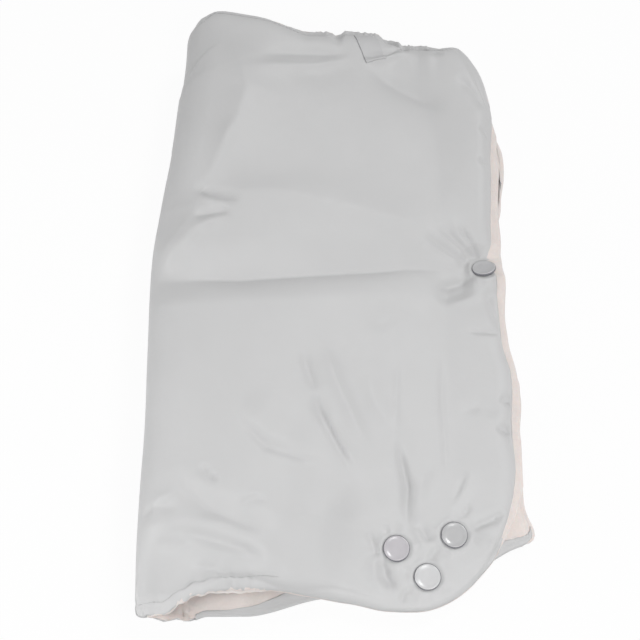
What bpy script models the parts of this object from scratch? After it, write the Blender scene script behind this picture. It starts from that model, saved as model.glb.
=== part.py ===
"""Padded hand muff for a pushchair handlebar, lying on a table.

Two quilted panels meet at a fold that goes round the handlebar. Each panel is an outer shell,
a layer of wadding and a fleece lining. Four press studs close the open side: three at the near
rounded corner and one halfway along. X runs from the fold to the open side, Y along the
handlebar and Z up. The origin is on the underside, in the middle of the muff.
"""

import math
from collections import namedtuple

import bmesh
import bpy
from mathutils import Vector

MM = 0.001

# Overall size of the muff lying flat
FOLD_X = -133 * MM
FRONT_OPEN_X = 125.5 * MM
BACK_OPEN_X = 129 * MM
FOLD_HEIGHT = 56 * MM
FOLD_ROUND = 30 * MM
FOLD_GAP = 0.3 * MM

# Hems of the front panel, seen from above
FRONT_NEAR_Y = -222 * MM
FRONT_FAR_Y = 231 * MM
NEAR_MOUTH_LIFT = 8 * MM
NEAR_MOUTH_X = -40 * MM
NEAR_MOUTH_WIDTH = 90 * MM
FAR_FOLD_PULL = 17 * MM
FAR_PULL_START_Y = 20 * MM
NEAR_CORNER_X = 75 * MM
NEAR_CORNER_Y = 118 * MM
FAR_CORNER_X = 36 * MM
FAR_CORNER_Y = 92 * MM

# Hems of the back panel, which shows past the front one at the near corner
BACK_NEAR_Y = -225 * MM
BACK_FAR_Y = 229 * MM
BACK_SLOPE_START_X = 20 * MM
BACK_SLOPE_RISE = 52 * MM
BACK_SLOPE_POWER = 1.4
BACK_CORNER_X = 16 * MM
BACK_CORNER_Y = 20 * MM

# Layers of a panel, from the outside in
SHELL_THICK = 0.8 * MM
WADDING_THICK = 6 * MM
WADDING_SQUEEZED = 0.8 * MM
LINING_THICK = 1.6 * MM
LAYER_GAP = 0.3 * MM
PADDING_ROUND = 13 * MM
SEAM_WIDTH = 3 * MM
CASING_WIDTH = 11 * MM
HEM_LIFT = 2.5 * MM

# The lining rolls out past the shell along the hems
ROLL_START = 0.4 * MM
ROLL_THICK = 3.4 * MM
ROLL_TIP_SHARE = 0.3
FRONT_ROLL_WIDTH = 4 * MM
BACK_ROLL_WIDTH = 3 * MM
MOUTH_ROLL_WIDTH = 1.4 * MM

# The hollow between the panels, which narrows from the fold to the closed side
HOLLOW_CLOSED = 2.5 * MM
NEAR_CONTACT = 138 * MM
MIDDLE_CONTACT = 214 * MM
FAR_CONTACT = 186 * MM
MOUTH_BLEND = 110 * MM
HOLLOW_POWER = 1.4

# The crease that the middle press stud pulls across the front panel
CREASE_FOLD_Y = 2 * MM
CREASE_HALF_WIDTH = 26 * MM
CREASE_DEPTH = 4.5 * MM
CREASE_PADDING_SHARE = 0.4

# Press studs: their places, and how far they squeeze the padding
INNER_X, INNER_Y = 40 * MM, -183 * MM
OUTER_X, OUTER_Y = 79 * MM, -174 * MM
HEM_X, HEM_Y = 60 * MM, -202 * MM
MIDDLE_X, MIDDLE_Y = 110 * MM, 25 * MM
SEAT_FLAT = 16 * MM
SEAT_EDGE = 40 * MM
SEAT_CELL = 10.5 * MM
BACK_SEAT_RISE = 1.7 * MM

# The front wadding thins out towards the near corner and its three press studs
CORNER_X, CORNER_Y = 60 * MM, -187 * MM
CORNER_REACH = 90 * MM
CORNER_WADDING = 2 * MM

# Broad folds of the front panel: points along the crest seen from above, half width on the left
# and on the right of that line, and height
Fold = namedtuple("Fold", "points left_width right_width height")
BROAD_FOLDS = (
    # Long crest to the middle press stud
    Fold(((-102, 71), (-69, 69), (-30, 68), (20, 63), (70, 54), (103, 36)), 22, 20, 2.8),
    # Crest along the fold at the far end
    Fold(((-96, 205), (-73, 179), (-65, 158), (-73, 125), (-102, 72)), 26, 11, 2.2),
    # Valley under the tab
    Fold(((-38, 176), (-8, 187), (18, 205)), 10, 12, -2.2),
    # Valley from the tab to the open side
    Fold(((24, 198), (50, 181), (92, 163)), 10, 12, -2),
    # Two crescents of the near half
    Fold(((-68, -94), (-49, -109), (-20, -126)), 22, 8, 2.6),
    Fold(((-108, -132), (-82, -151), (-59, -156), (-24, -176)), 24, 9, 2.8),
    # Crest over the near mouth
    Fold(((-128, -178), (-73, -175), (-48, -187), (-24, -208)), 8, 9, 2.4),
    # Crest down to the inner press stud
    Fold(((19, -50), (26, -84), (39, -104), (43, -142), (43, -168)), 9, 6, 2),
)
FOLD_FADE = 3

# Press stud hardware
HARDWARE_GAP = 0.3 * MM
CAP_RADIUS = 9 * MM
CAP_THICK = 2.2 * MM
CAP_RIM_WIDTH = 0.9 * MM
CAP_RIM_STEP = 0.3 * MM
CAP_EDGE_ROUND = 0.7 * MM
CAP_SHANK_RADIUS = 2 * MM
CAP_RIVET_RADIUS = 2.8 * MM
CAP_RIVET_THICK = 0.6 * MM
SOCKET_RADIUS = 6.5 * MM
SOCKET_HEIGHT = 4 * MM
SOCKET_ROOF = 0.9 * MM
SOCKET_STEP_RADIUS = 5.4 * MM
SOCKET_FLANGE = 1.4 * MM
SOCKET_BORE = 4.3 * MM
SOCKET_LIP = 0.4 * MM
SPRING_WIRE = 0.3 * MM
SPRING_SEAT = 0.15 * MM
SPRING_OPEN_ANGLE = 50
SPRING_STEPS = 12
STUD_RADIUS = 6.3 * MM
STUD_FLANGE = 1 * MM
NUB_RADIUS = 3.3 * MM
NUB_NECK_RADIUS = 2.9 * MM
NUB_NECK_HEIGHT = 1 * MM
NUB_HEIGHT = 2.2 * MM
NUB_CLEARANCE = 0.35 * MM
POST_RADIUS = 6 * MM
POST_THICK = 1 * MM
POST_SHANK_RADIUS = 1.6 * MM
POST_SHANK_REACH = 1.5 * MM
TURNED_STEPS = 18
POLE_MERGE = 0.02 * MM

# Elastic in the casings of the two mouths of the front panel
ELASTIC_THICK = 0.8 * MM
NEAR_ELASTIC_END_X = -8 * MM
FAR_ELASTIC_END_X = 62 * MM

# Blank fabric tab sewn to the far hem
TAB_X = 24 * MM
TAB_WIDTH = 15 * MM
TAB_LENGTH = 23 * MM
TAB_PLY = 0.5 * MM
TAB_LOOP_GAP = 0.6 * MM
TAB_FROM_HEM = 2 * MM
TAB_LIFT = 0.5 * MM

# Grid of the panels: where its lines lie, as shares across and along a panel. The front panel
# has more of them, for its folds
ROUND_SHARE = 0.2
ROUND_LINES = 4
BACK_FLAT_SHARES = (0.3, 0.42, 0.53)
BACK_NEAR_SHARES = (0.18, 0.26, 0.36)
BACK_FAR_SHARES = (0.68, 0.79, 0.88, 0.94)
FRONT_FLAT_SHARES = (0.256, 0.333, 0.41, 0.487, 0.565)
FRONT_NEAR_SHARES = (0.165, 0.205, 0.245, 0.29, 0.36)
FRONT_FAR_SHARES = (0.68, 0.735, 0.79, 0.85, 0.9, 0.945)
CREASE_CELL = 13 * MM
CREASE_REACH = 38 * MM
RING_FACES = 2

# Worked out from the sizes above
HINGE_Z = FOLD_HEIGHT / 2
WALL_FULL = SHELL_THICK + WADDING_THICK + LINING_THICK + 2 * LAYER_GAP
WALL_SQUEEZED = SHELL_THICK + WADDING_SQUEEZED + LINING_THICK + 2 * LAYER_GAP
HOLLOW_FULL = FOLD_HEIGHT - 2 * WALL_FULL
STUD_Z = BACK_SEAT_RISE + WALL_SQUEEZED + HARDWARE_GAP
SOCKET_Z = STUD_Z + STUD_FLANGE + HARDWARE_GAP
FRONT_SEAT_Z = SOCKET_Z + SOCKET_HEIGHT + HARDWARE_GAP
CAP_Z = FRONT_SEAT_Z + WALL_SQUEEZED + HARDWARE_GAP
POST_Z = BACK_SEAT_RISE - HARDWARE_GAP - POST_THICK
SOCKET_MOUTH = NUB_RADIUS + NUB_CLEARANCE

SNAPS = {
    "inner": (INNER_X, INNER_Y),
    "outer": (OUTER_X, OUTER_Y),
    "hem": (HEM_X, HEM_Y),
    "middle": (MIDDLE_X, MIDDLE_Y),
}

# One corner of a panel's grid: its place on the outer face, its turn round the fold, the space
# between shell and lining there, and whether it lies on a hem
Corner = namedtuple("Corner", "x y z turn packing on_hem")


def clamp(value, low=0.0, high=1.0):
    return max(low, min(high, value))


def smooth(value):
    t = clamp(value)
    return t * t * (3 - 2 * t)


def mix(first, second, share):
    return first + (second - first) * share


def quarter(value):
    """Height of a quarter circle of radius 1, from 0 at its rim to 1 inside."""
    inset = 1 - clamp(value)
    return math.sqrt(max(0.0, 1 - inset * inset))


def seat(x, y):
    """1 on the seat of a press stud, falling to 0 round it."""
    free = 1.0
    for snap_x, snap_y in SNAPS.values():
        distance = math.hypot(x - snap_x, y - snap_y)
        free *= smooth((distance - SEAT_FLAT) / (SEAT_EDGE - SEAT_FLAT))
    return 1 - free


def crease(x, y):
    """1 in the bottom of the crease, falling to 0 on each side of it."""
    line_y = mix(CREASE_FOLD_Y, MIDDLE_Y, smooth((x - FOLD_X) / (MIDDLE_X - FOLD_X)))
    return smooth(1 - abs(y - line_y) / CREASE_HALF_WIDTH)


def fold_rise(x, y):
    """How far the broad folds raise the front panel at a point, each fading out at its ends."""
    rise = 0.0
    place = Vector((x, y))
    for fold in BROAD_FOLDS:
        points = [Vector(point) * MM for point in fold.points]
        length = sum((end - start).length for start, end in zip(points, points[1:]))
        nearest, reach, width, passed = math.inf, 0.0, 1.0, 0.0
        for start, end in zip(points, points[1:]):
            run = end - start
            share = clamp((place - start).dot(run) / run.length_squared)
            distance = (place - start - run * share).length
            if distance < nearest:
                nearest = distance
                reach = (passed + share * run.length) / length
                width = (fold.left_width if run.cross(place - start) > 0 else fold.right_width) * MM
            passed += run.length
        fade = smooth(FOLD_FADE * reach) * smooth(FOLD_FADE * (1 - reach))
        rise += fold.height * MM * fade * math.exp(-(nearest / width) ** 2)
    return rise


class Panel:
    """A quilted panel: its hems seen from above, its padding and the grid laid on it."""

    def __init__(self, open_x, near_y, far_y, end_margin, roll_width):
        self.open_x = open_x
        self.near_y = near_y
        self.far_y = far_y
        self.end_margin = end_margin
        self.roll_width = roll_width

    def fold_x(self, along):
        """The fold is pulled in towards the far mouth."""
        y = mix(self.near_y, self.far_y, along)
        return FOLD_X + FAR_FOLD_PULL * smooth((y - FAR_PULL_START_Y) / (self.far_y - FAR_PULL_START_Y))

    def round_end(self, y):
        """Where the flat of the panel starts, past the round of the fold."""
        along = clamp((y - self.near_y) / (self.far_y - self.near_y))
        return self.fold_x(along) + FOLD_ROUND

    def far_hem(self, x):
        return self.far_y - FAR_CORNER_Y * (1 - quarter((self.open_x - x) / FAR_CORNER_X))

    def side_x(self, y, corner_y, corner_width, corner_length):
        """The open side at y, rounded at both its corners."""
        near = corner_width * (1 - quarter((y - corner_y) / corner_length))
        far = FAR_CORNER_X * (1 - quarter((self.far_y - y) / FAR_CORNER_Y))
        return self.open_x - near - far

    def place(self, across, along):
        """A point of the grid seen from above, and its turn round the fold."""
        fold = self.fold_x(along)
        turn = clamp(across / ROUND_SHARE) * math.pi / 2
        if across < ROUND_SHARE:
            x = fold + FOLD_ROUND * (1 - math.cos(turn))
        else:
            x = mix(fold + FOLD_ROUND, self.open_x, (across - ROUND_SHARE) / (1 - ROUND_SHARE))
        return x, mix(self.near_hem(x), self.far_hem(x), along), turn

    def hem_distance(self, x, y):
        """How far a point lies inside the nearest edge of the padding."""
        ends = min(y - self.near_hem(x), self.far_hem(x) - y) - self.end_margin
        side = self.open_side(y) - SEAM_WIDTH - x
        if ends <= 0 or side <= 0:
            return 0.0
        return ends * side / math.hypot(ends, side)

    def fullness(self, x, y):
        """Thickness of the wadding away from hems and press studs."""
        return WADDING_THICK

    def padding(self, x, y):
        """Thickness of the wadding."""
        thick = mix(WADDING_SQUEEZED, self.fullness(x, y), quarter(self.hem_distance(x, y) / PADDING_ROUND))
        return mix(thick, WADDING_SQUEEZED, seat(x, y))

    def wall(self, x, y):
        return SHELL_THICK + LINING_THICK + 2 * LAYER_GAP + self.padding(x, y)

    def across_lines(self):
        """Grid lines from the fold to the open side, closer at the press studs."""
        places = [INNER_X - SEAT_CELL, INNER_X, (INNER_X + HEM_X) / 2, HEM_X, (HEM_X + OUTER_X) / 2,
                  OUTER_X, OUTER_X + SEAT_CELL, MIDDLE_X - SEAT_CELL, MIDDLE_X]
        seam_x = self.open_x - SEAM_WIDTH
        if seam_x - MIDDLE_X - SEAT_CELL > SEAM_WIDTH:
            places.append(MIDDLE_X + SEAT_CELL)
        start = FOLD_X + FOLD_ROUND
        lines = [ROUND_SHARE * step / ROUND_LINES for step in range(ROUND_LINES + 1)]
        lines += self.flat_shares
        lines += [mix(ROUND_SHARE, 1, (x - start) / (self.open_x - start)) for x in places + [seam_x]]
        return lines + [1]

    def along_at(self, x, y):
        near = self.near_hem(x)
        return (y - near) / (self.far_hem(x) - near)

    def along_lines(self):
        """Grid lines from the near hem to the far hem, closer at the press studs."""
        length = self.far_y - self.near_y
        hem_row = self.along_at(HEM_X, HEM_Y)
        inner_row = self.along_at(INNER_X, INNER_Y)
        middle_row = self.along_at(MIDDLE_X, MIDDLE_Y)
        margins = sorted({SEAM_WIDTH / length, self.end_margin / length})
        lines = [0] + margins
        lines += [hem_row, (hem_row + inner_row) / 2, inner_row, inner_row + SEAT_CELL / length]
        lines += self.near_shares
        for reach in (-CREASE_REACH, -CREASE_CELL, 0, CREASE_CELL, CREASE_REACH):
            lines.append(middle_row + reach / length)
        lines += self.far_shares
        return lines + [1 - margin for margin in reversed(margins)] + [1]

    def lay_out(self):
        """Put the corners of the grid in place. The nine round a press stud move with it."""
        across = self.across_lines()
        along = self.along_lines()
        self.columns = len(across) - 1
        self.rows = len(along) - 1
        places = {}
        for i, share_across in enumerate(across):
            for j, share_along in enumerate(along):
                places[i, j] = self.place(share_across, share_along)
        shifts = {}
        for snap_x, snap_y in SNAPS.values():
            i, j = min(places, key=lambda key: math.hypot(places[key][0] - snap_x, places[key][1] - snap_y))
            shift = (snap_x - places[i, j][0], snap_y - places[i, j][1])
            for key in [(i + di, j + dj) for di in (-1, 0, 1) for dj in (-1, 0, 1)]:
                if key[0] < self.columns and 0 < key[1]:
                    shifts.setdefault(key, []).append(shift)
        for key, found in shifts.items():
            x, y, turn = places[key]
            x += sum(shift[0] for shift in found) / len(found)
            y += sum(shift[1] for shift in found) / len(found)
            places[key] = (x, y, turn)
        self.corners = {key: self.corner(key, *place) for key, place in places.items()}

    def corner(self, key, x, y, turn):
        on_hem = key[0] == self.columns or key[1] in (0, self.rows)
        packing = LAYER_GAP if on_hem else 2 * LAYER_GAP + self.padding(x, y)
        fold_line = HINGE_Z - self.up * FOLD_GAP / 2
        z = mix(fold_line, self.outer_face(max(x, self.round_end(y)), y), math.sin(turn))
        return Corner(x, y, z, turn, packing, on_hem)

    def point(self, key, depth):
        """A point of the panel, at a depth under its outer face."""
        corner = self.corners[key]
        x = corner.x + depth * math.cos(corner.turn)
        return Vector((x, corner.y, corner.z + self.up * depth * math.sin(corner.turn)))

    def outward(self, key):
        """Unit direction out of the panel at a hem, seen from above."""
        i, j = key
        before_i, after_i = max(i - 1, 0), min(i + 1, self.columns)
        if i == self.columns and 0 < j < self.rows:
            first, second = (i, j - 1), (i, j + 1)
        elif j == 0:
            first, second = (before_i, 0), (i, 1) if i == self.columns else (after_i, 0)
        else:
            first, second = (i, j - 1) if i == self.columns else (after_i, j), (before_i, j)
        run_x = self.corners[second].x - self.corners[first].x
        run_y = self.corners[second].y - self.corners[first].y
        length = math.hypot(run_x, run_y)
        return Vector((run_y / length, -run_x / length, 0))


class BackPanel(Panel):
    """Lies on the table. Its hems lift off a little, and it is hollow under a press stud."""

    up = 1
    flat_shares = BACK_FLAT_SHARES
    near_shares = BACK_NEAR_SHARES
    far_shares = BACK_FAR_SHARES

    def near_hem(self, x):
        slope = clamp((x - BACK_SLOPE_START_X) / (self.open_x - BACK_SLOPE_START_X))
        corner = BACK_CORNER_Y * (1 - quarter((self.open_x - x) / BACK_CORNER_X))
        return self.near_y + BACK_SLOPE_RISE * slope ** BACK_SLOPE_POWER + corner

    def open_side(self, y):
        return self.side_x(y, self.near_y + BACK_SLOPE_RISE, BACK_CORNER_X, BACK_CORNER_Y)

    def outer_face(self, x, y):
        lift = HEM_LIFT * (1 - quarter(self.hem_distance(x, y) / PADDING_ROUND))
        return mix(lift, BACK_SEAT_RISE, seat(x, y))

    def inner_face(self, x, y):
        return self.outer_face(x, y) + self.wall(x, y)


class FrontPanel(Panel):
    """Lies on the back panel at the closed side and stands off it over the handlebar."""

    up = -1
    flat_shares = FRONT_FLAT_SHARES
    near_shares = FRONT_NEAR_SHARES
    far_shares = FRONT_FAR_SHARES

    def near_hem(self, x):
        corner = NEAR_CORNER_Y * (1 - quarter((self.open_x - x) / NEAR_CORNER_X))
        mouth = NEAR_MOUTH_LIFT * smooth(1 - abs(x - NEAR_MOUTH_X) / NEAR_MOUTH_WIDTH)
        return self.near_y + corner + mouth

    def open_side(self, y):
        return self.side_x(y, self.near_y, NEAR_CORNER_X, NEAR_CORNER_Y)

    def fullness(self, x, y):
        thin = smooth(1 - math.hypot(x - CORNER_X, y - CORNER_Y) / CORNER_REACH)
        thick = mix(WADDING_THICK, CORNER_WADDING, thin)
        thick = mix(thick, WADDING_SQUEEZED, CREASE_PADDING_SHARE * crease(x, y))
        return thick + fold_rise(x, y)

    def outer_face(self, x, y):
        return BACK.inner_face(x, y) + hollow(x, y) + self.wall(x, y)


def hollow(x, y):
    """Free height between the two linings."""
    contact = mix(NEAR_CONTACT, MIDDLE_CONTACT, smooth((y - FRONT_NEAR_Y) / MOUTH_BLEND))
    contact = mix(FAR_CONTACT, contact, smooth((FRONT_FAR_Y - y) / MOUTH_BLEND))
    share = clamp((x - FOLD_X - FOLD_ROUND) / (contact - FOLD_ROUND))
    height = mix(HOLLOW_CLOSED, HOLLOW_FULL, math.cos(share * math.pi / 2) ** HOLLOW_POWER)
    height -= CREASE_DEPTH * crease(x, y) * (height - HOLLOW_CLOSED) / HOLLOW_FULL
    return mix(height, FRONT_SEAT_Z - BACK_SEAT_RISE - WALL_SQUEEZED, seat(x, y))


BACK = BackPanel(BACK_OPEN_X, BACK_NEAR_Y, BACK_FAR_Y, SEAM_WIDTH, BACK_ROLL_WIDTH)
FRONT = FrontPanel(FRONT_OPEN_X, FRONT_NEAR_Y, FRONT_FAR_Y, CASING_WIDTH, FRONT_ROLL_WIDTH)


def clear_scene():
    for existing in list(bpy.data.objects):
        bpy.data.objects.remove(existing, do_unlink=True)


def new_collection(name):
    group = bpy.data.collections.new(name)
    bpy.context.scene.collection.children.link(group)
    return group


def material(name, colour, roughness, metallic=0.0):
    surface = bpy.data.materials.new(name)
    surface.use_nodes = True
    shader = surface.node_tree.nodes["Principled BSDF"]
    shader.inputs["Base Color"].default_value = (*colour, 1)
    shader.inputs["Roughness"].default_value = roughness
    shader.inputs["Metallic"].default_value = metallic
    return surface


def add_object(name, data, group, surface=None):
    body = bpy.data.objects.new(name, data)
    group.objects.link(body)
    if surface:
        data.materials.append(surface)
    return body


def finish_mesh(shape, name, group, surface):
    """Turn a bmesh into an object of its own, with its faces pointing out."""
    bmesh.ops.recalc_face_normals(shape, faces=shape.faces)
    mesh = bpy.data.meshes.new(name)
    shape.to_mesh(mesh)
    shape.free()
    mesh.shade_smooth()
    mesh.set_sharp_from_angle(angle=math.radians(40))
    return add_object(name, mesh, group, surface)


def flat_slab(columns, rows):
    """A closed slab in grid coordinates: corner i, corner j, and 0 or 1 for its two faces."""
    shape = bmesh.new()
    bmesh.ops.create_grid(shape, x_segments=columns, y_segments=rows, size=1)
    for vert in shape.verts:
        vert.co.x = round((vert.co.x + 1) / 2 * columns)
        vert.co.y = round((vert.co.y + 1) / 2 * rows)
    raised = bmesh.ops.extrude_face_region(shape, geom=shape.faces[:])["geom"]
    for vert in [item for item in raised if isinstance(item, bmesh.types.BMVert)]:
        vert.co.z = 1
    return shape


def extrude_hems(shape, columns, rows, ring):
    """Grow the slab outwards at its three hems. Ring number 1 or 2 is kept in z."""
    level = RING_FACES * (ring - 1)
    faces = []
    for face in shape.faces:
        across = {round(vert.co.x) for vert in face.verts}
        along = {round(vert.co.y) for vert in face.verts}
        on_hem = across == {columns} or along == {0} or along == {rows}
        if on_hem and all(vert.co.z >= level for vert in face.verts):
            faces.append(face)
    edges = {edge for face in faces for edge in face.edges}
    grown = bmesh.ops.extrude_face_region(shape, geom=faces + list(edges))["geom"]
    for vert in [item for item in grown if isinstance(item, bmesh.types.BMVert)]:
        vert.co.z += RING_FACES


def shell_depths(corner):
    return 0, SHELL_THICK


def wadding_depths(corner):
    top = SHELL_THICK + LAYER_GAP
    return top, top + corner.packing - 2 * LAYER_GAP


def lining_depths(corner):
    top = SHELL_THICK + corner.packing
    return top, top + LINING_THICK


def layer(panel, name, depths, group, surface, start=(0, 0), end=(0, 0)):
    """One layer of a panel. depths gives its two faces for a corner of the grid."""
    columns = panel.columns - start[0] - end[0]
    rows = panel.rows - start[1] - end[1]
    shape = flat_slab(columns, rows)
    for vert in shape.verts:
        key = (round(vert.co.x) + start[0], round(vert.co.y) + start[1])
        vert.co = panel.point(key, depths(panel.corners[key])[round(vert.co.z)])
    return finish_mesh(shape, name, group, surface)


def lining(panel, name, group, surface):
    """The fleece lining, rolled out past the hems of the shell."""
    shape = flat_slab(panel.columns, panel.rows)
    extrude_hems(shape, panel.columns, panel.rows, 1)
    extrude_hems(shape, panel.columns, panel.rows, 2)
    for vert in shape.verts:
        key = (round(vert.co.x), round(vert.co.y))
        ring, face = divmod(round(vert.co.z), RING_FACES)
        corner = panel.corners[key]
        width = mix(MOUTH_ROLL_WIDTH, panel.roll_width, smooth(corner.x / panel.open_x))
        tip = (ROLL_THICK * ROLL_TIP_SHARE, ROLL_THICK * (1 - ROLL_TIP_SHARE))
        depths = (lining_depths(corner), (0, ROLL_THICK), tip)[ring]
        reach = (0, ROLL_START, width)[ring]
        place = panel.point(key, depths[face])
        vert.co = place + panel.outward(key) * reach if ring else place
    return finish_mesh(shape, name, group, surface)


def elastic(name, group, surface, end_x, far):
    """Flat elastic in a mouth casing, against the shell, between the hem seam and the wadding."""
    seam_row = FRONT.rows - 1 if far else 1
    casing_row = FRONT.rows - 2 if far else 2
    inset = LAYER_GAP / (CASING_WIDTH - SEAM_WIDTH)
    first = ROUND_LINES
    last = max(i for i in range(FRONT.columns) if FRONT.corners[i, seam_row].x <= end_x)
    shape = flat_slab(last - first, 1)
    for vert in shape.verts:
        i = round(vert.co.x) + first
        depth = SHELL_THICK + LAYER_GAP + ELASTIC_THICK * round(vert.co.z)
        seam_point = FRONT.point((i, seam_row), depth)
        casing_point = FRONT.point((i, casing_row), depth)
        vert.co = seam_point.lerp(casing_point, round(vert.co.y) * (1 - inset))
    return finish_mesh(shape, name, group, surface)


def turned(name, profile, group, surface, place):
    """A turned piece. The profile is radius and height, from its top down its outer side."""
    mesh = bpy.data.meshes.new(name)
    points = [(radius, 0, height) for radius, height in profile]
    edges = [(k, k + 1) for k in range(len(points) - 1)]
    if profile[0][0] > 0:
        edges.append((len(points) - 1, 0))
    mesh.from_pydata(points, edges, [])
    body = add_object(name, mesh, group, surface)
    body.location = place
    screw = body.modifiers.new("Turn", "SCREW")
    screw.steps = TURNED_STEPS
    screw.render_steps = TURNED_STEPS
    screw.use_merge_vertices = True
    screw.merge_threshold = POLE_MERGE
    return body


def snap_cap(place, x, y, group, surface):
    """Cap on the outside, whose shank is riveted inside the socket."""
    shank_end = SOCKET_Z + SOCKET_HEIGHT - SOCKET_ROOF - HARDWARE_GAP - CAP_Z
    face_radius = CAP_RADIUS - CAP_RIM_WIDTH - CAP_EDGE_ROUND
    diagonal = CAP_EDGE_ROUND * (1 - math.sin(math.pi / 4))
    profile = [
        (0, CAP_THICK - CAP_RIM_STEP),
        (face_radius, CAP_THICK - CAP_RIM_STEP),
        (face_radius + CAP_RIM_STEP, CAP_THICK),
        (CAP_RADIUS - CAP_EDGE_ROUND, CAP_THICK),
        (CAP_RADIUS - diagonal, CAP_THICK - diagonal),
        (CAP_RADIUS, CAP_THICK - CAP_EDGE_ROUND),
        (CAP_RADIUS, CAP_EDGE_ROUND),
        (CAP_RADIUS - CAP_EDGE_ROUND, 0),
        (CAP_SHANK_RADIUS, 0),
        (CAP_SHANK_RADIUS, shank_end),
        (CAP_RIVET_RADIUS, shank_end),
        (CAP_RIVET_RADIUS, shank_end - CAP_RIVET_THICK),
        (0, shank_end - CAP_RIVET_THICK),
    ]
    return turned(f"snap_cap_{place}", profile, group, surface, (x, y, CAP_Z))


def snap_socket(place, x, y, group, surface):
    """Socket on the inside of the front panel, with a bore and a lip for its spring ring."""
    hole = CAP_SHANK_RADIUS + HARDWARE_GAP
    roof = SOCKET_HEIGHT - SOCKET_ROOF
    profile = [
        (hole, SOCKET_HEIGHT),
        (SOCKET_RADIUS, SOCKET_HEIGHT),
        (SOCKET_RADIUS, SOCKET_HEIGHT - SOCKET_FLANGE),
        (SOCKET_STEP_RADIUS, SOCKET_HEIGHT - SOCKET_FLANGE - CAP_RIM_STEP),
        (SOCKET_STEP_RADIUS, 0),
        (SOCKET_MOUTH, 0),
        (SOCKET_MOUTH, SOCKET_LIP),
        (SOCKET_BORE, SOCKET_LIP),
        (SOCKET_BORE, roof),
        (hole, roof),
    ]
    return turned(f"snap_socket_{place}", profile, group, surface, (x, y, SOCKET_Z))


def snap_spring(place, x, y, group, surface):
    """Split spring ring that lies on the lip in the socket and grips the stud's neck."""
    radius = SOCKET_BORE - SPRING_SEAT - SPRING_WIRE
    wire = bpy.data.curves.new(f"snap_spring_{place}", "CURVE")
    wire.dimensions = "3D"
    wire.bevel_depth = SPRING_WIRE
    wire.bevel_resolution = 1
    wire.use_fill_caps = True
    line = wire.splines.new("POLY")
    line.points.add(SPRING_STEPS)
    sweep = math.radians(360 - SPRING_OPEN_ANGLE)
    for k, point in enumerate(line.points):
        angle = sweep * (k / SPRING_STEPS - 1 / 2)
        point.co = (radius * math.cos(angle), radius * math.sin(angle), 0, 1)
    body = add_object(wire.name, wire, group, surface)
    body.location = (x, y, SOCKET_Z + SOCKET_LIP + SPRING_SEAT + SPRING_WIRE)
    return body


def snap_stud(place, x, y, group, surface):
    """Stud on the inside of the back panel, hollow below for the shank of its post."""
    bore = POST_SHANK_RADIUS + HARDWARE_GAP
    top = STUD_FLANGE + NUB_HEIGHT
    neck = STUD_FLANGE + NUB_NECK_HEIGHT
    swell = NUB_RADIUS - NUB_NECK_RADIUS
    profile = [
        (0, top),
        (NUB_NECK_RADIUS, top),
        (NUB_RADIUS, top - swell),
        (NUB_RADIUS, neck),
        (NUB_NECK_RADIUS, neck - swell),
        (NUB_NECK_RADIUS, STUD_FLANGE),
        (STUD_RADIUS, STUD_FLANGE),
        (STUD_RADIUS, 0),
        (bore, 0),
        (bore, POST_SHANK_REACH + HARDWARE_GAP),
        (0, POST_SHANK_REACH + HARDWARE_GAP),
    ]
    return turned(f"snap_stud_{place}", profile, group, surface, (x, y, STUD_Z))


def snap_post(place, x, y, group, surface):
    """Flat post under the back panel, whose shank goes up into the stud."""
    shank_top = STUD_Z + POST_SHANK_REACH - POST_Z
    profile = [
        (0, shank_top),
        (POST_SHANK_RADIUS, shank_top),
        (POST_SHANK_RADIUS, POST_THICK),
        (POST_RADIUS, POST_THICK),
        (POST_RADIUS, 0),
        (0, 0),
    ]
    return turned(f"snap_post_{place}", profile, group, surface, (x, y, POST_Z))


def hole_cutter(name, radius, group):
    """Rods through all the layers where the press studs go."""
    shape = bmesh.new()
    for x, y in SNAPS.values():
        rod = bmesh.ops.create_cone(shape, cap_ends=True, segments=TURNED_STEPS,
                                    radius1=radius, radius2=radius, depth=FOLD_HEIGHT)
        bmesh.ops.translate(shape, verts=rod["verts"], vec=(x, y, HINGE_Z))
    cutter = finish_mesh(shape, name, group, None)
    cutter.hide_render = True
    cutter.display_type = "WIRE"
    return cutter


def cut(body, cutter):
    difference = body.modifiers.new("Post holes", "BOOLEAN")
    difference.operation = "DIFFERENCE"
    difference.solver = "EXACT"
    difference.object = cutter


def padding_top(y):
    """Highest point of the front panel at y, under the width of the tab."""
    return max(FRONT.outer_face(TAB_X + side * TAB_WIDTH / 2, y) for side in (-1, 0, 1))


def tab_slope(hem_y, base_z):
    """The tab lies on the highest point of the padding under it."""
    slope = 0.0
    for k in range(1, TURNED_STEPS + 1):
        reach = TAB_LENGTH * k / TURNED_STEPS
        slope = max(slope, (padding_top(hem_y - reach) + TAB_LIFT - base_z) / reach)
    return slope


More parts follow.
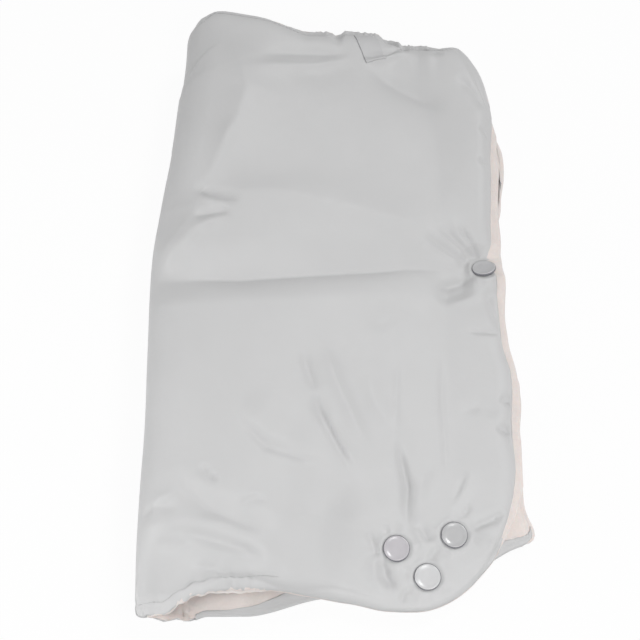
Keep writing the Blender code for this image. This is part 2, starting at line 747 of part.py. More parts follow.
def label_tab(group, surface):
    """Blank loop of tape that lies on the padding, free at its folded end."""
    radius = TAB_PLY + TAB_LOOP_GAP / 2
    inner = TAB_LOOP_GAP / 2
    bend_y = TAB_LENGTH - radius
    bend = [math.pi * (k / ROUND_LINES - 1 / 2) for k in range(ROUND_LINES + 1)]
    outline = [(0, 0)]
    outline += [(bend_y + radius * math.cos(a), radius + radius * math.sin(a)) for a in bend]
    outline += [(0, 2 * radius), (0, radius + inner)]
    outline += [(bend_y + inner * math.cos(a), radius + inner * math.sin(a)) for a in reversed(bend)]
    outline += [(0, TAB_PLY)]
    shape = bmesh.new()
    verts = [shape.verts.new((-TAB_WIDTH / 2, -length, height)) for length, height in outline]
    side = shape.faces.new(verts)
    grown = bmesh.ops.extrude_face_region(shape, geom=[side])["geom"]
    moved = [item for item in grown if isinstance(item, bmesh.types.BMVert)]
    bmesh.ops.translate(shape, verts=moved, vec=(TAB_WIDTH, 0, 0))
    tab = finish_mesh(shape, "label_tab", group, surface)
    hem_y = FRONT.far_hem(TAB_X) - TAB_FROM_HEM
    base_z = padding_top(hem_y) + TAB_LIFT
    tab.location = (TAB_X, hem_y, base_z)
    tab.rotation_euler.x = -math.atan(tab_slope(hem_y, base_z))
    return tab


def build():
    clear_scene()
    muff = new_collection("stroller_hand_muff")
    cutters = new_collection("cutters")
    BACK.lay_out()
    FRONT.lay_out()

    shell_cloth = material("shell_cloth", (0.62, 0.62, 0.62), 0.5)
    fleece = material("fleece", (0.72, 0.56, 0.49), 0.95)
    wadding = material("wadding", (0.8, 0.8, 0.78), 1.0)
    cap_plastic = material("cap_plastic", (0.58, 0.57, 0.6), 0.35)
    snap_plastic = material("snap_plastic", (0.6, 0.6, 0.6), 0.4)
    spring_steel = material("spring_steel", (0.55, 0.55, 0.55), 0.3, 1.0)
    elastic_tape = material("elastic_tape", (0.75, 0.75, 0.74), 0.9)
    tab_tape = material("tab_tape", (0.6, 0.6, 0.6), 0.6)

    front_layers = [
        layer(FRONT, "front_shell", shell_depths, muff, shell_cloth),
        layer(FRONT, "front_wadding", wadding_depths, muff, wadding, (0, 2), (1, 2)),
        lining(FRONT, "front_lining", muff, fleece),
    ]
    back_layers = [
        layer(BACK, "back_shell", shell_depths, muff, shell_cloth),
        layer(BACK, "back_wadding", wadding_depths, muff, wadding, (0, 1), (1, 1)),
        lining(BACK, "back_lining", muff, fleece),
    ]
    elastic("near_hem_elastic", muff, elastic_tape, NEAR_ELASTIC_END_X, far=False)
    elastic("far_hem_elastic", muff, elastic_tape, FAR_ELASTIC_END_X, far=True)
    label_tab(muff, tab_tape)

    cap_holes = hole_cutter("cap_holes", CAP_SHANK_RADIUS + HARDWARE_GAP, cutters)
    post_holes = hole_cutter("post_holes", POST_SHANK_RADIUS + HARDWARE_GAP, cutters)
    for body in front_layers:
        cut(body, cap_holes)
    for body in back_layers:
        cut(body, post_holes)

    for place, (x, y) in SNAPS.items():
        snap_cap(place, x, y, muff, cap_plastic)
        snap_socket(place, x, y, muff, snap_plastic)
        snap_spring(place, x, y, muff, spring_steel)
        snap_stud(place, x, y, muff, snap_plastic)
        snap_post(place, x, y, muff, snap_plastic)


build()
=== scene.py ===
"""The looks of the stroller hand muff: its cloth, fleece, wadding, caps, tab and light."""
import math
from collections import namedtuple

import bpy
import numpy as np
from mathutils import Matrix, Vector


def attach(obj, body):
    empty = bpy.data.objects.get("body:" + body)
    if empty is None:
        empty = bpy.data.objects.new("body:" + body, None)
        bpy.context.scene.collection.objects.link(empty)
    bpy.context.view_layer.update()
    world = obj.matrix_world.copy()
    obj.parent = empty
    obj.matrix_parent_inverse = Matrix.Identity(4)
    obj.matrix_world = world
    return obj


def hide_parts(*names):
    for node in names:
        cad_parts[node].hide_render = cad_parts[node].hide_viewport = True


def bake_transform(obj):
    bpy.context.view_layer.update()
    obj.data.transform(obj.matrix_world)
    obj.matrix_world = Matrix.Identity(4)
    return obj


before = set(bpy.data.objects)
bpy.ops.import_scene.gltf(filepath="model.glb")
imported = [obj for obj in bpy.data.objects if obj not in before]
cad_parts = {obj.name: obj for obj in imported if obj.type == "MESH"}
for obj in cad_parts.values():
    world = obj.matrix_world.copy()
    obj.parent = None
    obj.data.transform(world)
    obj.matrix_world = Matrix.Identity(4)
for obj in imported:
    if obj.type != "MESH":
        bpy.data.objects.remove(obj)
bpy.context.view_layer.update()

MM = 0.001

# Sizes of the muff, the same as those of its solids
FOLD_X = -133 * MM
FRONT_OPEN_X = 125.5 * MM
BACK_OPEN_X = 129 * MM
FOLD_HEIGHT = 56 * MM
FOLD_ROUND = 30 * MM
HINGE_Z = FOLD_HEIGHT / 2
FRONT_NEAR_Y = -222 * MM
FRONT_FAR_Y = 231 * MM
NEAR_MOUTH_LIFT = 8 * MM
NEAR_MOUTH_X = -40 * MM
NEAR_MOUTH_WIDTH = 90 * MM
FAR_FOLD_PULL = 17 * MM
FAR_PULL_START_Y = 20 * MM
NEAR_CORNER_X = 75 * MM
NEAR_CORNER_Y = 118 * MM
FAR_CORNER_X = 36 * MM
FAR_CORNER_Y = 92 * MM
BACK_NEAR_Y = -225 * MM
BACK_FAR_Y = 229 * MM
BACK_SLOPE_START_X = 20 * MM
BACK_SLOPE_RISE = 52 * MM
BACK_SLOPE_POWER = 1.4
SHELL_THICK = 0.8 * MM
WADDING_THICK = 6 * MM
WADDING_SQUEEZED = 0.8 * MM
LINING_THICK = 1.6 * MM
LAYER_GAP = 0.3 * MM
PADDING_ROUND = 13 * MM
SEAM_WIDTH = 3 * MM
CASING_WIDTH = 8 * MM
HEM_LIFT = 2.5 * MM
HOLLOW_CLOSED = 2.5 * MM
NEAR_CONTACT = 138 * MM
MIDDLE_CONTACT = 214 * MM
FAR_CONTACT = 186 * MM
MOUTH_BLEND = 110 * MM
HOLLOW_POWER = 1.4
CREASE_FOLD_Y = 2 * MM
CREASE_HALF_WIDTH = 26 * MM
CREASE_DEPTH = 4.5 * MM
CREASE_PADDING_SHARE = 0.4
SEAT_FLAT = 16 * MM
SEAT_EDGE = 40 * MM
CLOTH_SEAT_FLAT = 9.6 * MM
CLOTH_SEAT_EDGES = {"inner": 54 * MM, "outer": 47 * MM, "hem": 47 * MM, "middle": 47 * MM}
BACK_SEAT_RISE = 1.7 * MM
CORNER_X, CORNER_Y = 60 * MM, -187 * MM
CORNER_REACH = 90 * MM
CORNER_WADDING = 2 * MM
CAP_RADIUS = 9 * MM
CAP_Z = 15.5 * MM
SNAPS = {
    "inner": (40 * MM, -183 * MM),
    "outer": (79 * MM, -174 * MM),
    "hem": (60 * MM, -202 * MM),
    "middle": (110 * MM, 25 * MM),
}
SEAT_EDGES = dict.fromkeys(SNAPS, SEAT_EDGE)
FIXED_WALL = SHELL_THICK + LINING_THICK + 2 * LAYER_GAP
WALL_FULL = FIXED_WALL + WADDING_THICK
WALL_SQUEEZED = FIXED_WALL + WADDING_SQUEEZED
HOLLOW_FULL = FOLD_HEIGHT - 2 * WALL_FULL
FRONT_SEAT_Z = CAP_Z - LAYER_GAP - WALL_SQUEEZED

# What the cloth does past its solids: hems pulled in and out, the soft ear at the near end of the
# fold, and the lean of the cloth at the middle press stud
EAR_REACH = 6 * MM
EAR_START_X = -88 * MM
EAR_WIDTH = 30 * MM
EAR_TOP_Z = 15 * MM
EAR_SQUASH_SHARE = 0.85
EAR_SQUASH_X = (-72 * MM, -122 * MM)
EAR_LENGTH = 28 * MM
BACK_EAR_SHARE = 0.3
CLOTH_CORNER = 7 * MM
BACK_MOUTH_LIFT = 12 * MM
BACK_MOUTH_X = -4 * MM
BACK_MOUTH_WIDTH = 57 * MM
NEAR_BAG = 2.2 * MM
NEAR_BAG_X = (8 * MM, 33 * MM)
FOLD_DRAWN_IN = 1.5 * MM
FOLD_STRAIGHT_WIDTH = 60 * MM
FOLD_STRAIGHT_Y = (130 * MM, 180 * MM)
SIDE_DRAWN_X = (60 * MM, 125 * MM)

# How far the elastic and the crease move the edges: place along the edge, and out or in, both in
# millimetres. The far hems are listed along X, the open sides along Y
FAR_HEM_SWAY = (
    (-119, -13), (-112, -8), (-103, -1), (-92, 5.5), (-58, 3.2), (-22, -2), (-3, 2.3), (1.8, 1.0),
    (11, 6.8), (33, 8.6), (48, 4.4), (57, -0.5), (66, 0), (90, -3.6), (104, 0.4), (121, 4.5),
)
FRONT_SIDE_SWAY = (
    (-222, 0), (-132, 0), (-100, -2.5), (-68, 0), (-58, 0), (-30, -5.5), (45, -7.6), (118, -3.9),
    (165, 0),
)
BACK_SIDE_SWAY = (
    (-225, 0), (-130, -1.8), (-104, -7.6), (-62, 0.3), (-42, -4.8), (-14, -5.3), (8, -7),
    (32, -5.6), (55, -8.2), (84, -3), (108, 0.5), (130, 0), (160, -3.6), (190, -7),
)

# Stretches of the near hems that reach out: middle, half width and reach, in millimetres
FRONT_TIPS = ((108, 14, 3),)
BACK_TIPS = ((-98, 13, 3.2), (-127, 7, 2), (-115, 12, 3.6))

# The uneven edges of the gathered hems: strength, seed, and the stretches over which they fade in
NEAR_UNEVEN = (0.7, 0.9, [(-40 * MM, -80 * MM)])
FAR_UNEVEN = (0.5, 2.3, [(-30 * MM, 0), (90 * MM, 60 * MM)])
NEAR_GATHER_X = (-18 * MM, -64 * MM)
FAR_GATHER_X = ((-64 * MM, -14 * MM), (96 * MM, 66 * MM))
MIDDLE_LEAN = math.radians(29)
MIDDLE_SIDE_LEAN = math.radians(-9)
MIDDLE_LEAN_REACH = 14 * MM
MOUTH_BULGE = 8 * MM
MOUTH_BULGE_X = -66 * MM
MOUTH_BULGE_WIDTH = 37 * MM
MOUTH_BULGE_IN = 12 * MM
MOUTH_BULGE_LENGTH = 10 * MM
PULLED_X, PULLED_Y = 126 * MM, -168 * MM
PULL_REACH = 11 * MM
PULL_OUT = 5 * MM
PULL_NEAR = 3 * MM
FACING_START_X = -93 * MM
FACING_WIDTH = 13 * MM

# The view of the photograph
CAMERA_PLACE = (-11 * MM, -364.9 * MM, 799.3 * MM)
CAMERA_TILT = 24
CAMERA_LENS = 66.6

# Finishes, as linear colours
CLOTH_GREY = (0.600, 0.600, 0.602)
FLEECE_BLUSH = (0.8, 0.73, 0.697)
TAPE_GREY = (0.56, 0.56, 0.565)
WADDING_WHITE = (0.82, 0.82, 0.8)
CAP_LAVENDER = (0.545, 0.527, 0.55)
CAP_GREY = (0.51, 0.51, 0.515)
CAP_DULL = (0.54, 0.54, 0.55)
CAP_PEARL = (0.645, 0.645, 0.65)
# Dark finish of the caps' outer walls: painted shade of the gap between cap and cloth, with the
# dark edge of the cap's rim
CAP_RIM_SHADE = (0.2, 0.2, 0.22)


def smooth(value):
    t = np.clip(value, 0, 1)
    return t * t * (3 - 2 * t)


def ramp(value, stretch):
    """0 at the start of a stretch, 1 at its end."""
    start, end = stretch
    return smooth((value - start) / (end - start))


def bell(distance, width):
    """1 at distance 0, falling away over width."""
    return np.exp(-(distance / width) ** 2)


def mix(first, second, share):
    return first + (second - first) * share


def quarter(value):
    """Height of a quarter circle of radius 1, from 0 at its rim to 1 inside."""
    return np.sqrt(1 - (1 - np.clip(value, 0, 1)) ** 2)


def ripple(s, seed):
    """Uneven wave between -1 and 1 along a hem, about one wave to each unit of s."""
    wobble = 0.35 * np.sin(0.37 * s + seed) + 0.5 * np.sin(0.83 * s + 2 * seed)
    strength = 0.65 + 0.35 * np.sin(0.61 * s + 3 * seed)
    return strength * np.sin(2 * math.pi * (s + wobble))


# The forms of the two panels, seen from above


def ear(x):
    """The near hems reach further out at the fold, in a soft ear."""
    return -EAR_REACH * smooth((EAR_START_X - x) / EAR_WIDTH)


def swell(x, middle, width):
    """1 in the middle of a stretch of a hem, falling to 0 at width on each side."""
    return smooth(1 - abs(x - middle) / width)


def tips(x, table):
    return sum(reach * MM * swell(x, middle * MM, width * MM) for middle, width, reach in table)


def uneven(x, strength, seed, stretches):
    """The edge of a gathered hem goes in and out a little."""
    edge = 0.7 * MM * ripple(x / (6.5 * MM), seed) + 0.8 * MM * ripple(x / (17 * MM), 2 * seed)
    for stretch in stretches:
        edge = edge * ramp(x, stretch)
    return strength * edge


def front_near_hem(x):
    corner = NEAR_CORNER_Y * (1 - quarter((FRONT_OPEN_X - x) / NEAR_CORNER_X))
    mouth = NEAR_MOUTH_LIFT * swell(x, NEAR_MOUTH_X, NEAR_MOUTH_WIDTH)
    out = NEAR_BAG * ramp(x, NEAR_BAG_X) + tips(x, FRONT_TIPS)
    return FRONT_NEAR_Y + corner + mouth + ear(x) + uneven(x, *NEAR_UNEVEN) - out


def front_far_hem(x):
    corner = FAR_CORNER_Y * (1 - quarter((FRONT_OPEN_X - x) / FAR_CORNER_X))
    return FRONT_FAR_Y - corner + sway(FAR_HEM_SWAY, x) + uneven(x, *FAR_UNEVEN)


def back_near_hem(x):
    slope = np.clip((x - BACK_SLOPE_START_X) / (BACK_OPEN_X - BACK_SLOPE_START_X), 0, 1)
    corner = CLOTH_CORNER * (1 - quarter((BACK_OPEN_X - x) / CLOTH_CORNER))
    arch = BACK_MOUTH_LIFT * swell(x, BACK_MOUTH_X, BACK_MOUTH_WIDTH)
    slope = BACK_SLOPE_RISE * slope ** BACK_SLOPE_POWER
    out = tips(x, BACK_TIPS) - BACK_EAR_SHARE * ear(x)
    return BACK_NEAR_Y + slope + corner + arch - out


def back_far_hem(x):
    corner = FAR_CORNER_Y * (1 - quarter((BACK_OPEN_X - x) / FAR_CORNER_X))
    return BACK_FAR_Y - corner + sway(FAR_HEM_SWAY, x)


def sway(table, along):
    """Smooth course through the points of a table of (place, offset)."""
    places, offsets = np.array(table, float).T * MM
    k = np.clip(np.searchsorted(places, along) - 1, 0, len(places) - 2)
    return mix(offsets[k], offsets[k + 1], ramp(along, (places[k], places[k + 1])))


def drawn_in(x, y, table):
    """x, with the open side moved in and out by its table."""
    return x + sway(table, y) * ramp(x, SIDE_DRAWN_X)


def front_side(y):
    near = NEAR_CORNER_X * (1 - quarter((y - FRONT_NEAR_Y) / NEAR_CORNER_Y))
    far = FAR_CORNER_X * (1 - quarter((FRONT_FAR_Y - y) / FAR_CORNER_Y))
    return FRONT_OPEN_X - near - far + sway(FRONT_SIDE_SWAY, y)


def back_side(y):
    near = CLOTH_CORNER * (1 - quarter((y - BACK_NEAR_Y - BACK_SLOPE_RISE) / CLOTH_CORNER))
    far = FAR_CORNER_X * (1 - quarter((BACK_FAR_Y - y) / FAR_CORNER_Y))
    return BACK_OPEN_X - near - far + sway(BACK_SIDE_SWAY, y)


def fold_x(along):
    y = mix(FRONT_NEAR_Y, FRONT_FAR_Y, along)
    pull = FAR_FOLD_PULL * ramp(y, (FAR_PULL_START_Y, FRONT_FAR_Y))
    straight = bell(y, FOLD_STRAIGHT_WIDTH) + ramp(y, FOLD_STRAIGHT_Y)
    return FOLD_X + pull + FOLD_DRAWN_IN * (1 - straight)


def inset(x, y, near_y, far_y, side_x):
    """How far a point lies inside the nearest edge of the padding."""
    ends = np.maximum(np.minimum(y - near_y, far_y - y), 0)
    side = np.maximum(side_x - x, 0)
    return ends * side / np.maximum(np.hypot(ends, side), MM * MM)


def seat(x, y, flat=SEAT_FLAT, edges=SEAT_EDGES):
    """1 on the seat of a press stud, falling to 0 round it."""
    free = 1.0
    for place, (snap_x, snap_y) in SNAPS.items():
        free = free * ramp(np.hypot(x - snap_x, y - snap_y), (flat, edges[place]))
    return 1 - free


def crease(x, y):
    """1 in the bottom of the crease to the middle press stud, falling to 0 on each side."""
    middle_x, middle_y = SNAPS["middle"]
    line_y = mix(CREASE_FOLD_Y, middle_y, ramp(x, (FOLD_X, middle_x)))
    return smooth(1 - abs(y - line_y) / CREASE_HALF_WIDTH)


def back_rounding(x, y):
    """0 at the edge of the back panel's padding, 1 where it is full."""
    near_y, far_y = back_near_hem(x) + SEAM_WIDTH, back_far_hem(x) - SEAM_WIDTH
    return quarter(inset(x, y, near_y, far_y, back_side(y) - SEAM_WIDTH) / PADDING_ROUND)


def back_thick(x, y):
    return FIXED_WALL + mix(WADDING_SQUEEZED, WADDING_THICK, back_rounding(x, y))


def back_wall(x, y):
    return mix(back_thick(x, y), WALL_SQUEEZED, seat(x, y))


def near_gather(x):
    """1 where the near elastic gathers its hem, 0 where the hem lies smooth."""
    return ramp(x, NEAR_GATHER_X)


def far_gather(x):
    left, right = FAR_GATHER_X
    return ramp(x, left) * ramp(x, right)


def front_thick(x, y):
    near_y = front_near_hem(x) + CASING_WIDTH * near_gather(x)
    far_y = front_far_hem(x) - CASING_WIDTH * far_gather(x)
    depth = inset(x, y, near_y, far_y, front_side(y))
    thin = smooth(1 - np.hypot(x - CORNER_X, y - CORNER_Y) / CORNER_REACH)
    full = mix(WADDING_THICK, CORNER_WADDING, thin)
    full = mix(full, WADDING_SQUEEZED, CREASE_PADDING_SHARE * crease(x, y))
    full = full + sum(fold_line(x, y, fold, BROAD_ROUNDNESS) for fold in BROAD_FOLDS)
    return FIXED_WALL + mix(WADDING_SQUEEZED, full, quarter(depth / PADDING_ROUND))


def back_lift(x, y):
    return HEM_LIFT * (1 - back_rounding(x, y))


def back_outer(x, y):
    return mix(back_lift(x, y), BACK_SEAT_RISE, seat(x, y))


def back_inner(x, y):
    return back_outer(x, y) + back_wall(x, y)


def free_hollow(x, y):
    """Free height between the two linings, away from the press studs."""
    contact = mix(NEAR_CONTACT, MIDDLE_CONTACT, smooth((y - FRONT_NEAR_Y) / MOUTH_BLEND))
    contact = mix(FAR_CONTACT, contact, smooth((FRONT_FAR_Y - y) / MOUTH_BLEND))
    share = np.clip((x - FOLD_X - FOLD_ROUND) / (contact - FOLD_ROUND), 0, 1)
    height = mix(HOLLOW_CLOSED, HOLLOW_FULL, np.cos(share * math.pi / 2) ** HOLLOW_POWER)
    return height - CREASE_DEPTH * crease(x, y) * (height - HOLLOW_CLOSED) / HOLLOW_FULL


def front_inner(x, y):
    hollow = mix(free_hollow(x, y), FRONT_SEAT_Z - BACK_SEAT_RISE - WALL_SQUEEZED, seat(x, y))
    return back_inner(x, y) + hollow


def front_outer(x, y):
    """The cloth, which bridges the edges of the seats."""
    free = back_lift(x, y) + back_thick(x, y) + free_hollow(x, y) + front_thick(x, y)
    return mix(free, CAP_Z - LAYER_GAP, seat(x, y, CLOTH_SEAT_FLAT, CLOTH_SEAT_EDGES))


def front_wall(x, y):
    return np.maximum(front_outer(x, y) - front_inner(x, y), WALL_SQUEEZED)


# Folds of the front cloth: points along the crest, in the cloth laid flat, half width on the left
# and on the right of that line, and height, below 0 for a valley. All in millimetres
Fold = namedtuple("Fold", "points left_width right_width height")
FOLD_FADE = 3
BROAD_ROUNDNESS = 1.6

# The broad ones, which the solids have too
BROAD_FOLDS = (
    # Long crest to the middle press stud
    Fold(((-102, 71), (-69, 69), (-30, 68), (20, 63), (70, 54), (103, 36)), 22, 20, 2.8),
    # Crest along the fold at the far end
    Fold(((-96, 205), (-73, 179), (-65, 158), (-73, 125), (-102, 72)), 26, 11, 2.2),
    # Valley under the tab
    Fold(((-38, 176), (-8, 187), (18, 205)), 10, 12, -2.2),
    # Valley from the tab to the open side
    Fold(((24, 198), (50, 181), (92, 163)), 10, 12, -2),
    # Two crescents of the near half
    Fold(((-68, -94), (-49, -109), (-20, -126)), 22, 8, 2.6),
    Fold(((-108, -132), (-82, -151), (-59, -156), (-24, -176)), 24, 9, 2.8),
    # Crest over the near mouth
    Fold(((-128, -178), (-73, -175), (-48, -187), (-24, -208)), 8, 9, 2.4),
    # Crest down to the inner press stud
    Fold(((19, -50), (26, -84), (39, -104), (43, -142), (43, -168)), 9, 6, 2),
)

# The sharp crests, where the cloth is drawn tight over its padding
CREST_FOLDS = (
    Fold(
        ((-97, 214), (-84, 203), (-73, 184), (-66, 158), (-73, 126), (-90, 90), (-103, 70)),
        15, 60, 4.4,
    ),
    Fold(((-130, 6), (-117, 26), (-104, 44), (-99, 58), (-103, 74)), 13, 50, 3.2),
    Fold(((-104, 72), (-69, 69), (-30, 68), (20, 63), (70, 54), (103, 36)), 44, 16, 2.6),
)

# The finer ones, which only the cloth has
FINE_FOLDS = (
    # Over the far hem and the tab
    Fold(((-60, 189), (-35, 197), (-12, 202), (14, 208)), 7, 4, -2.8),
    Fold(((-70, 178), (-35, 184), (-13, 190), (10, 202), (18, 207)), 4, 7, 2.6),
    Fold(((24, 198), (40, 187), (60, 176), (90, 163)), 7, 3.5, -1.9),
    Fold(((22, 200), (33, 204), (46, 211), (62, 219)), 3, 3, 3.1),
    Fold(((20, 206), (34, 209), (48, 217), (60, 226)), 3, 2.5, -2.8),
    Fold(((2, 240), (3, 226), (4, 212)), 3, 3, -1.6),
    Fold(((34, 240), (45, 231), (58, 222)), 2.5, 2.5, -2.6),
    Fold(((50, 234), (56, 222)), 3, 3, 2.7),
    Fold(((57, 233), (57, 224), (59, 215)), 2.5, 2.5, -2.0),
    Fold(((66, 228), (77, 219), (90, 215)), 2.5, 3, -2.3),
    Fold(((96, 196), (110, 180), (119, 160)), 4, 5, -2.3),
    # Pinch beside the fold
    Fold(((-102, 71), (-90, 84), (-81, 105), (-75, 134)), 5, 6, 1.9),
    Fold(((-104, 71), (-90, 66), (-66, 62)), 3, 4, -3.9),
    Fold(((-102, 45), (-88, 50), (-74, 54)), 3, 3, -3.4),
    Fold(((-102, 71), (-88, 59), (-74, 53)), 3, 4, 2.6),
    Fold(((-128, 6), (-112, 19), (-100, 35), (-76, 50)), 9, 5, 3.4),
    # Crease
    Fold(((-148, 6), (-110, -1), (-68, 1), (-10, 11), (50, 22), (88, 25), (106, 24)), 9, 5, -3.2),
    Fold(
        ((-140, 4), (-110, -1), (-68, 1), (-10, 11), (50, 22), (88, 25), (104, 24)),
        1.6, 1.6, -1.2,
    ),
    # Fan at the middle press stud
    Fold(((56, 48), (78, 37), (91, 31), (102, 28)), 3, 3, 1.6),
    Fold(((70, 55), (89, 42), (103, 32)), 2.6, 2.6, 1.9),
    Fold(((84, 63), (97, 48), (107, 36)), 2.4, 2.4, 1.9),
    Fold(((98, 57), (106, 45), (111, 35)), 2.2, 2.2, 1.6),
    Fold(((62, 32), (81, 29), (98, 26)), 2.5, 2.5, 1.2),
    Fold(((64, 51), (84, 39), (102, 30)), 2.2, 2.2, -1.8),
    Fold(((78, 60), (93, 45), (105, 34)), 2, 2, -1.9),
    Fold(((92, 60), (102, 45), (109, 36)), 2, 2, -1.8),
    Fold(((74, 7), (90, 14), (104, 19)), 3.5, 4.5, -4.8),
    Fold(((72, -4), (88, 4), (102, 13)), 8, 10, -3.0),
    Fold(((76, -8), (92, -2), (114, 10)), 5, 6, 2.3),
    Fold(((100, 37), (108, 38), (118, 36)), 1.6, 1.6, -1.7),
    Fold(((99, 16), (99.5, 25), (102, 33)), 2.2, 2.5, 2.0),
    # Open side
    Fold(((119, 178), (121, 127), (121, 83), (118, 42)), 4, 5, -2.6),
    Fold(((113, 149), (120, 137)), 1.8, 1.8, -2.3),
    Fold(((109, 119), (120, 111)), 1.8, 1.8, -2.3),
    Fold(((114, -77), (124, -82)), 1.8, 1.8, -2.3),
    Fold(((110, -99), (123, -104)), 1.8, 1.8, -2.3),
    Fold(((110, 10), (114, -6), (118, -26)), 4, 4, -2.6),
    Fold(((94, -26), (106, -27), (120, -28)), 1.8, 1.8, -2.7),
    Fold(((84, -88), (100, -84), (120, -92)), 5, 4, -1.8),
    # Lines within the crescents of the near half
    Fold(((-69, -92), (-60, -108), (-46, -122), (-22, -128), (-4, -126)), 6, 4, -3.6),
    Fold(((-108, -136), (-98, -153), (-83, -166), (-60, -174), (-36, -180)), 7, 5, -3.8),
    Fold(((-90, -136), (-84, -143), (-76, -149)), 3, 2.5, -2.2),
    Fold(((-64, -163), (-53, -158), (-44, -159)), 2.5, 3, -2.2),
    Fold(((-95, -203), (-78, -205), (-68, -213)), 4, 3, 3.4),
    Fold(((-115, -181), (-97, -181), (-82, -185), (-62, -190), (-40, -199)), 4, 4, -3.8),
    Fold(((-118, -187), (-104, -188), (-90, -190)), 2.5, 3, -2.6),
    Fold(((-126, -168), (-112, -158), (-104, -156)), 4, 4, 2.0),
    Fold(((-133, -169), (-117, -163), (-100, -167)), 4, 4, -2.2),
    # Slanted folds in the middle of the near half
    Fold(((-14, -78), (-12, -94), (-5, -105), (2, -118), (13, -138)), 3.2, 3.4, -4.2),
    Fold(((-13, -46), (-5, -56), (0, -73), (7, -88), (16, -106), (24, -118)), 5, 5, 4.0),
    Fold(((-10, -93), (-2, -105), (5, -118), (14, -130)), 3, 3, 3.2),
    Fold(((-24, -50), (-18, -68), (-13, -84)), 4, 4, -2.8),
    Fold(((41, -108), (45, -127), (49, -142), (48, -156), (48, -172)), 3.2, 3.2, -4.8),
    Fold(((43, -51), (42, -80), (41, -110)), 1.6, 1.6, 0.9),
    Fold(((76, -40), (74, -77), (75, -113), (74, -145)), 2, 2, 1.2),
    Fold(((20, -30), (42, -18), (60, -12)), 9, 7, -1.6),
    Fold(((-34, -140), (4, -142), (30, -146)), 20, 22, -2.0),
    Fold(((-38, -165), (-4, -166), (28, -164)), 7, 5, -1.6),
    # Round the three press studs of the near corner
    Fold(((93, -128), (86, -144), (78, -157)), 4, 4, 1.8),
    Fold(((65, -124), (58, -140), (54, -158)), 5, 5, 1.6),
    Fold(((91, -152), (85, -163)), 2, 2, -2.3),
    Fold(((79, -152), (83, -143), (89, -132)), 2.5, 2.5, -1.6),
    Fold(((88, -170), (102, -165), (117, -159)), 3, 2, -3.8),
    Fold(((90, -176), (101, -178), (112, -183)), 3, 3, 2.2),
    Fold(((55, -165), (60, -172), (64, -180)), 2.4, 2.4, -2.2),
    Fold(((51, -168), (56, -176), (60, -184)), 2.4, 2.4, 1.8),
    Fold(((70, -180), (63, -188), (57, -193)), 2.4, 2.4, -2.2),
    Fold(((30, -186), (33, -201), (41, -211)), 3, 4, -3.9),
    Fold(((24, -186), (26, -204), (34, -216)), 4, 4, 1.8),
    Fold(((46, -208), (44, -214), (43, -220)), 1.6, 1.6, -2.2),
    Fold(((52, -206), (49, -209), (45, -213)), 2, 2, -1.9),
    Fold(((21, -170), (25, -180), (28, -190)), 2, 2.5, -2.6),
    Fold(((33, -166), (34, -175)), 1.6, 1.6, -1.9),
)
CREST_ROUNDNESS = 1.15
FINE_ROUNDNESS = 1.5
PUCKER_SEED = 1.7


def fold_line(x, y, fold, roundness):
    """Height of one fold, fading out at both its ends. A roundness of 2 has a round crest and 1 a
    sharp one."""
    points = np.array(fold.points, float) * MM
    nearest = np.full(x.shape, 1.0)
    progress = np.zeros(x.shape)
    width = np.full(x.shape, fold.left_width * MM)
    lengths = np.hypot(*(points[1:] - points[:-1]).T)
    done = np.concatenate(([0], np.cumsum(lengths))) / lengths.sum()
    for k in range(len(lengths)):
        run = points[k + 1] - points[k]
        t = ((x - points[k, 0]) * run[0] + (y - points[k, 1]) * run[1]) / (lengths[k] ** 2)
        t = np.clip(t, 0, 1)
        distance = np.hypot(x - points[k, 0] - t * run[0], y - points[k, 1] - t * run[1])
        closer = distance < nearest
        on_left = run[0] * (y - points[k, 1]) > run[1] * (x - points[k, 0])
        width = np.where(closer, np.where(on_left, fold.left_width, fold.right_width) * MM, width)
        nearest = np.where(closer, distance, nearest)
        progress = np.where(closer, mix(done[k], done[k + 1], t), progress)
    fade = smooth(FOLD_FADE * progress) * smooth(FOLD_FADE * (1 - progress))
    return fold.height * MM * fade * np.exp(-(nearest / width) ** roundness)


def gathers(gap, flat_x, pull, seed, broad):
    """Gathers along an elastic hem, whose edge is gap away: small ones in the casing, broad ones
    further in, and the sunk line of the stitches between them."""
    small = bell(gap, 7 * MM) * ripple(flat_x / (3.6 * MM), seed)
    large = bell(gap - CASING_WIDTH, 22 * MM) * ripple(flat_x / (19 * MM), 2 * seed) * broad
    seam = -0.5 * bell(gap - CASING_WIDTH, 1.5 * MM)
    return pull * (small + large + seam) * MM


def hem_puckers(flat_x, x, y):
    """The two gathered hems of the front panel."""
    near = gathers(y - front_near_hem(x), flat_x, near_gather(x), PUCKER_SEED, 0.8)
    return near + gathers(front_far_hem(x) - y, flat_x, far_gather(x), 3 * PUCKER_SEED, 0.9)


# Cloth round each press stud: rays that run out from it, and a lip round its cap
RAYS_HEIGHT = 0.35 * MM
RAYS_RISE = (CAP_RADIUS, 13 * MM)
RAYS_FULL_TO = 12 * MM
RAYS_FADE = 9 * MM
LIP = 0.8 * MM
MIDDLE_LIP = 1.9 * MM
LIP_RADIUS = 11.3 * MM
LIP_WIDTH = 1.8 * MM


def snap_puckers(x, y):
    """Small folds that run out from the press studs."""
    rise = 0.0
    for k, (place, (snap_x, snap_y)) in enumerate(SNAPS.items()):
        radius = np.hypot(x - snap_x, y - snap_y)
        angle = np.arctan2(y - snap_y, x - snap_x)
        rays = np.sin(7 * angle + 1.3 * k) + 0.6 * np.sin(11 * angle + 2.1 * k)
        reach = ramp(radius, RAYS_RISE) * bell(np.maximum(radius - RAYS_FULL_TO, 0), RAYS_FADE)
        lip = (MIDDLE_LIP if place == "middle" else LIP) * bell(radius - LIP_RADIUS, LIP_WIDTH)
        rise = rise + RAYS_HEIGHT * rays * reach + lip
    return rise


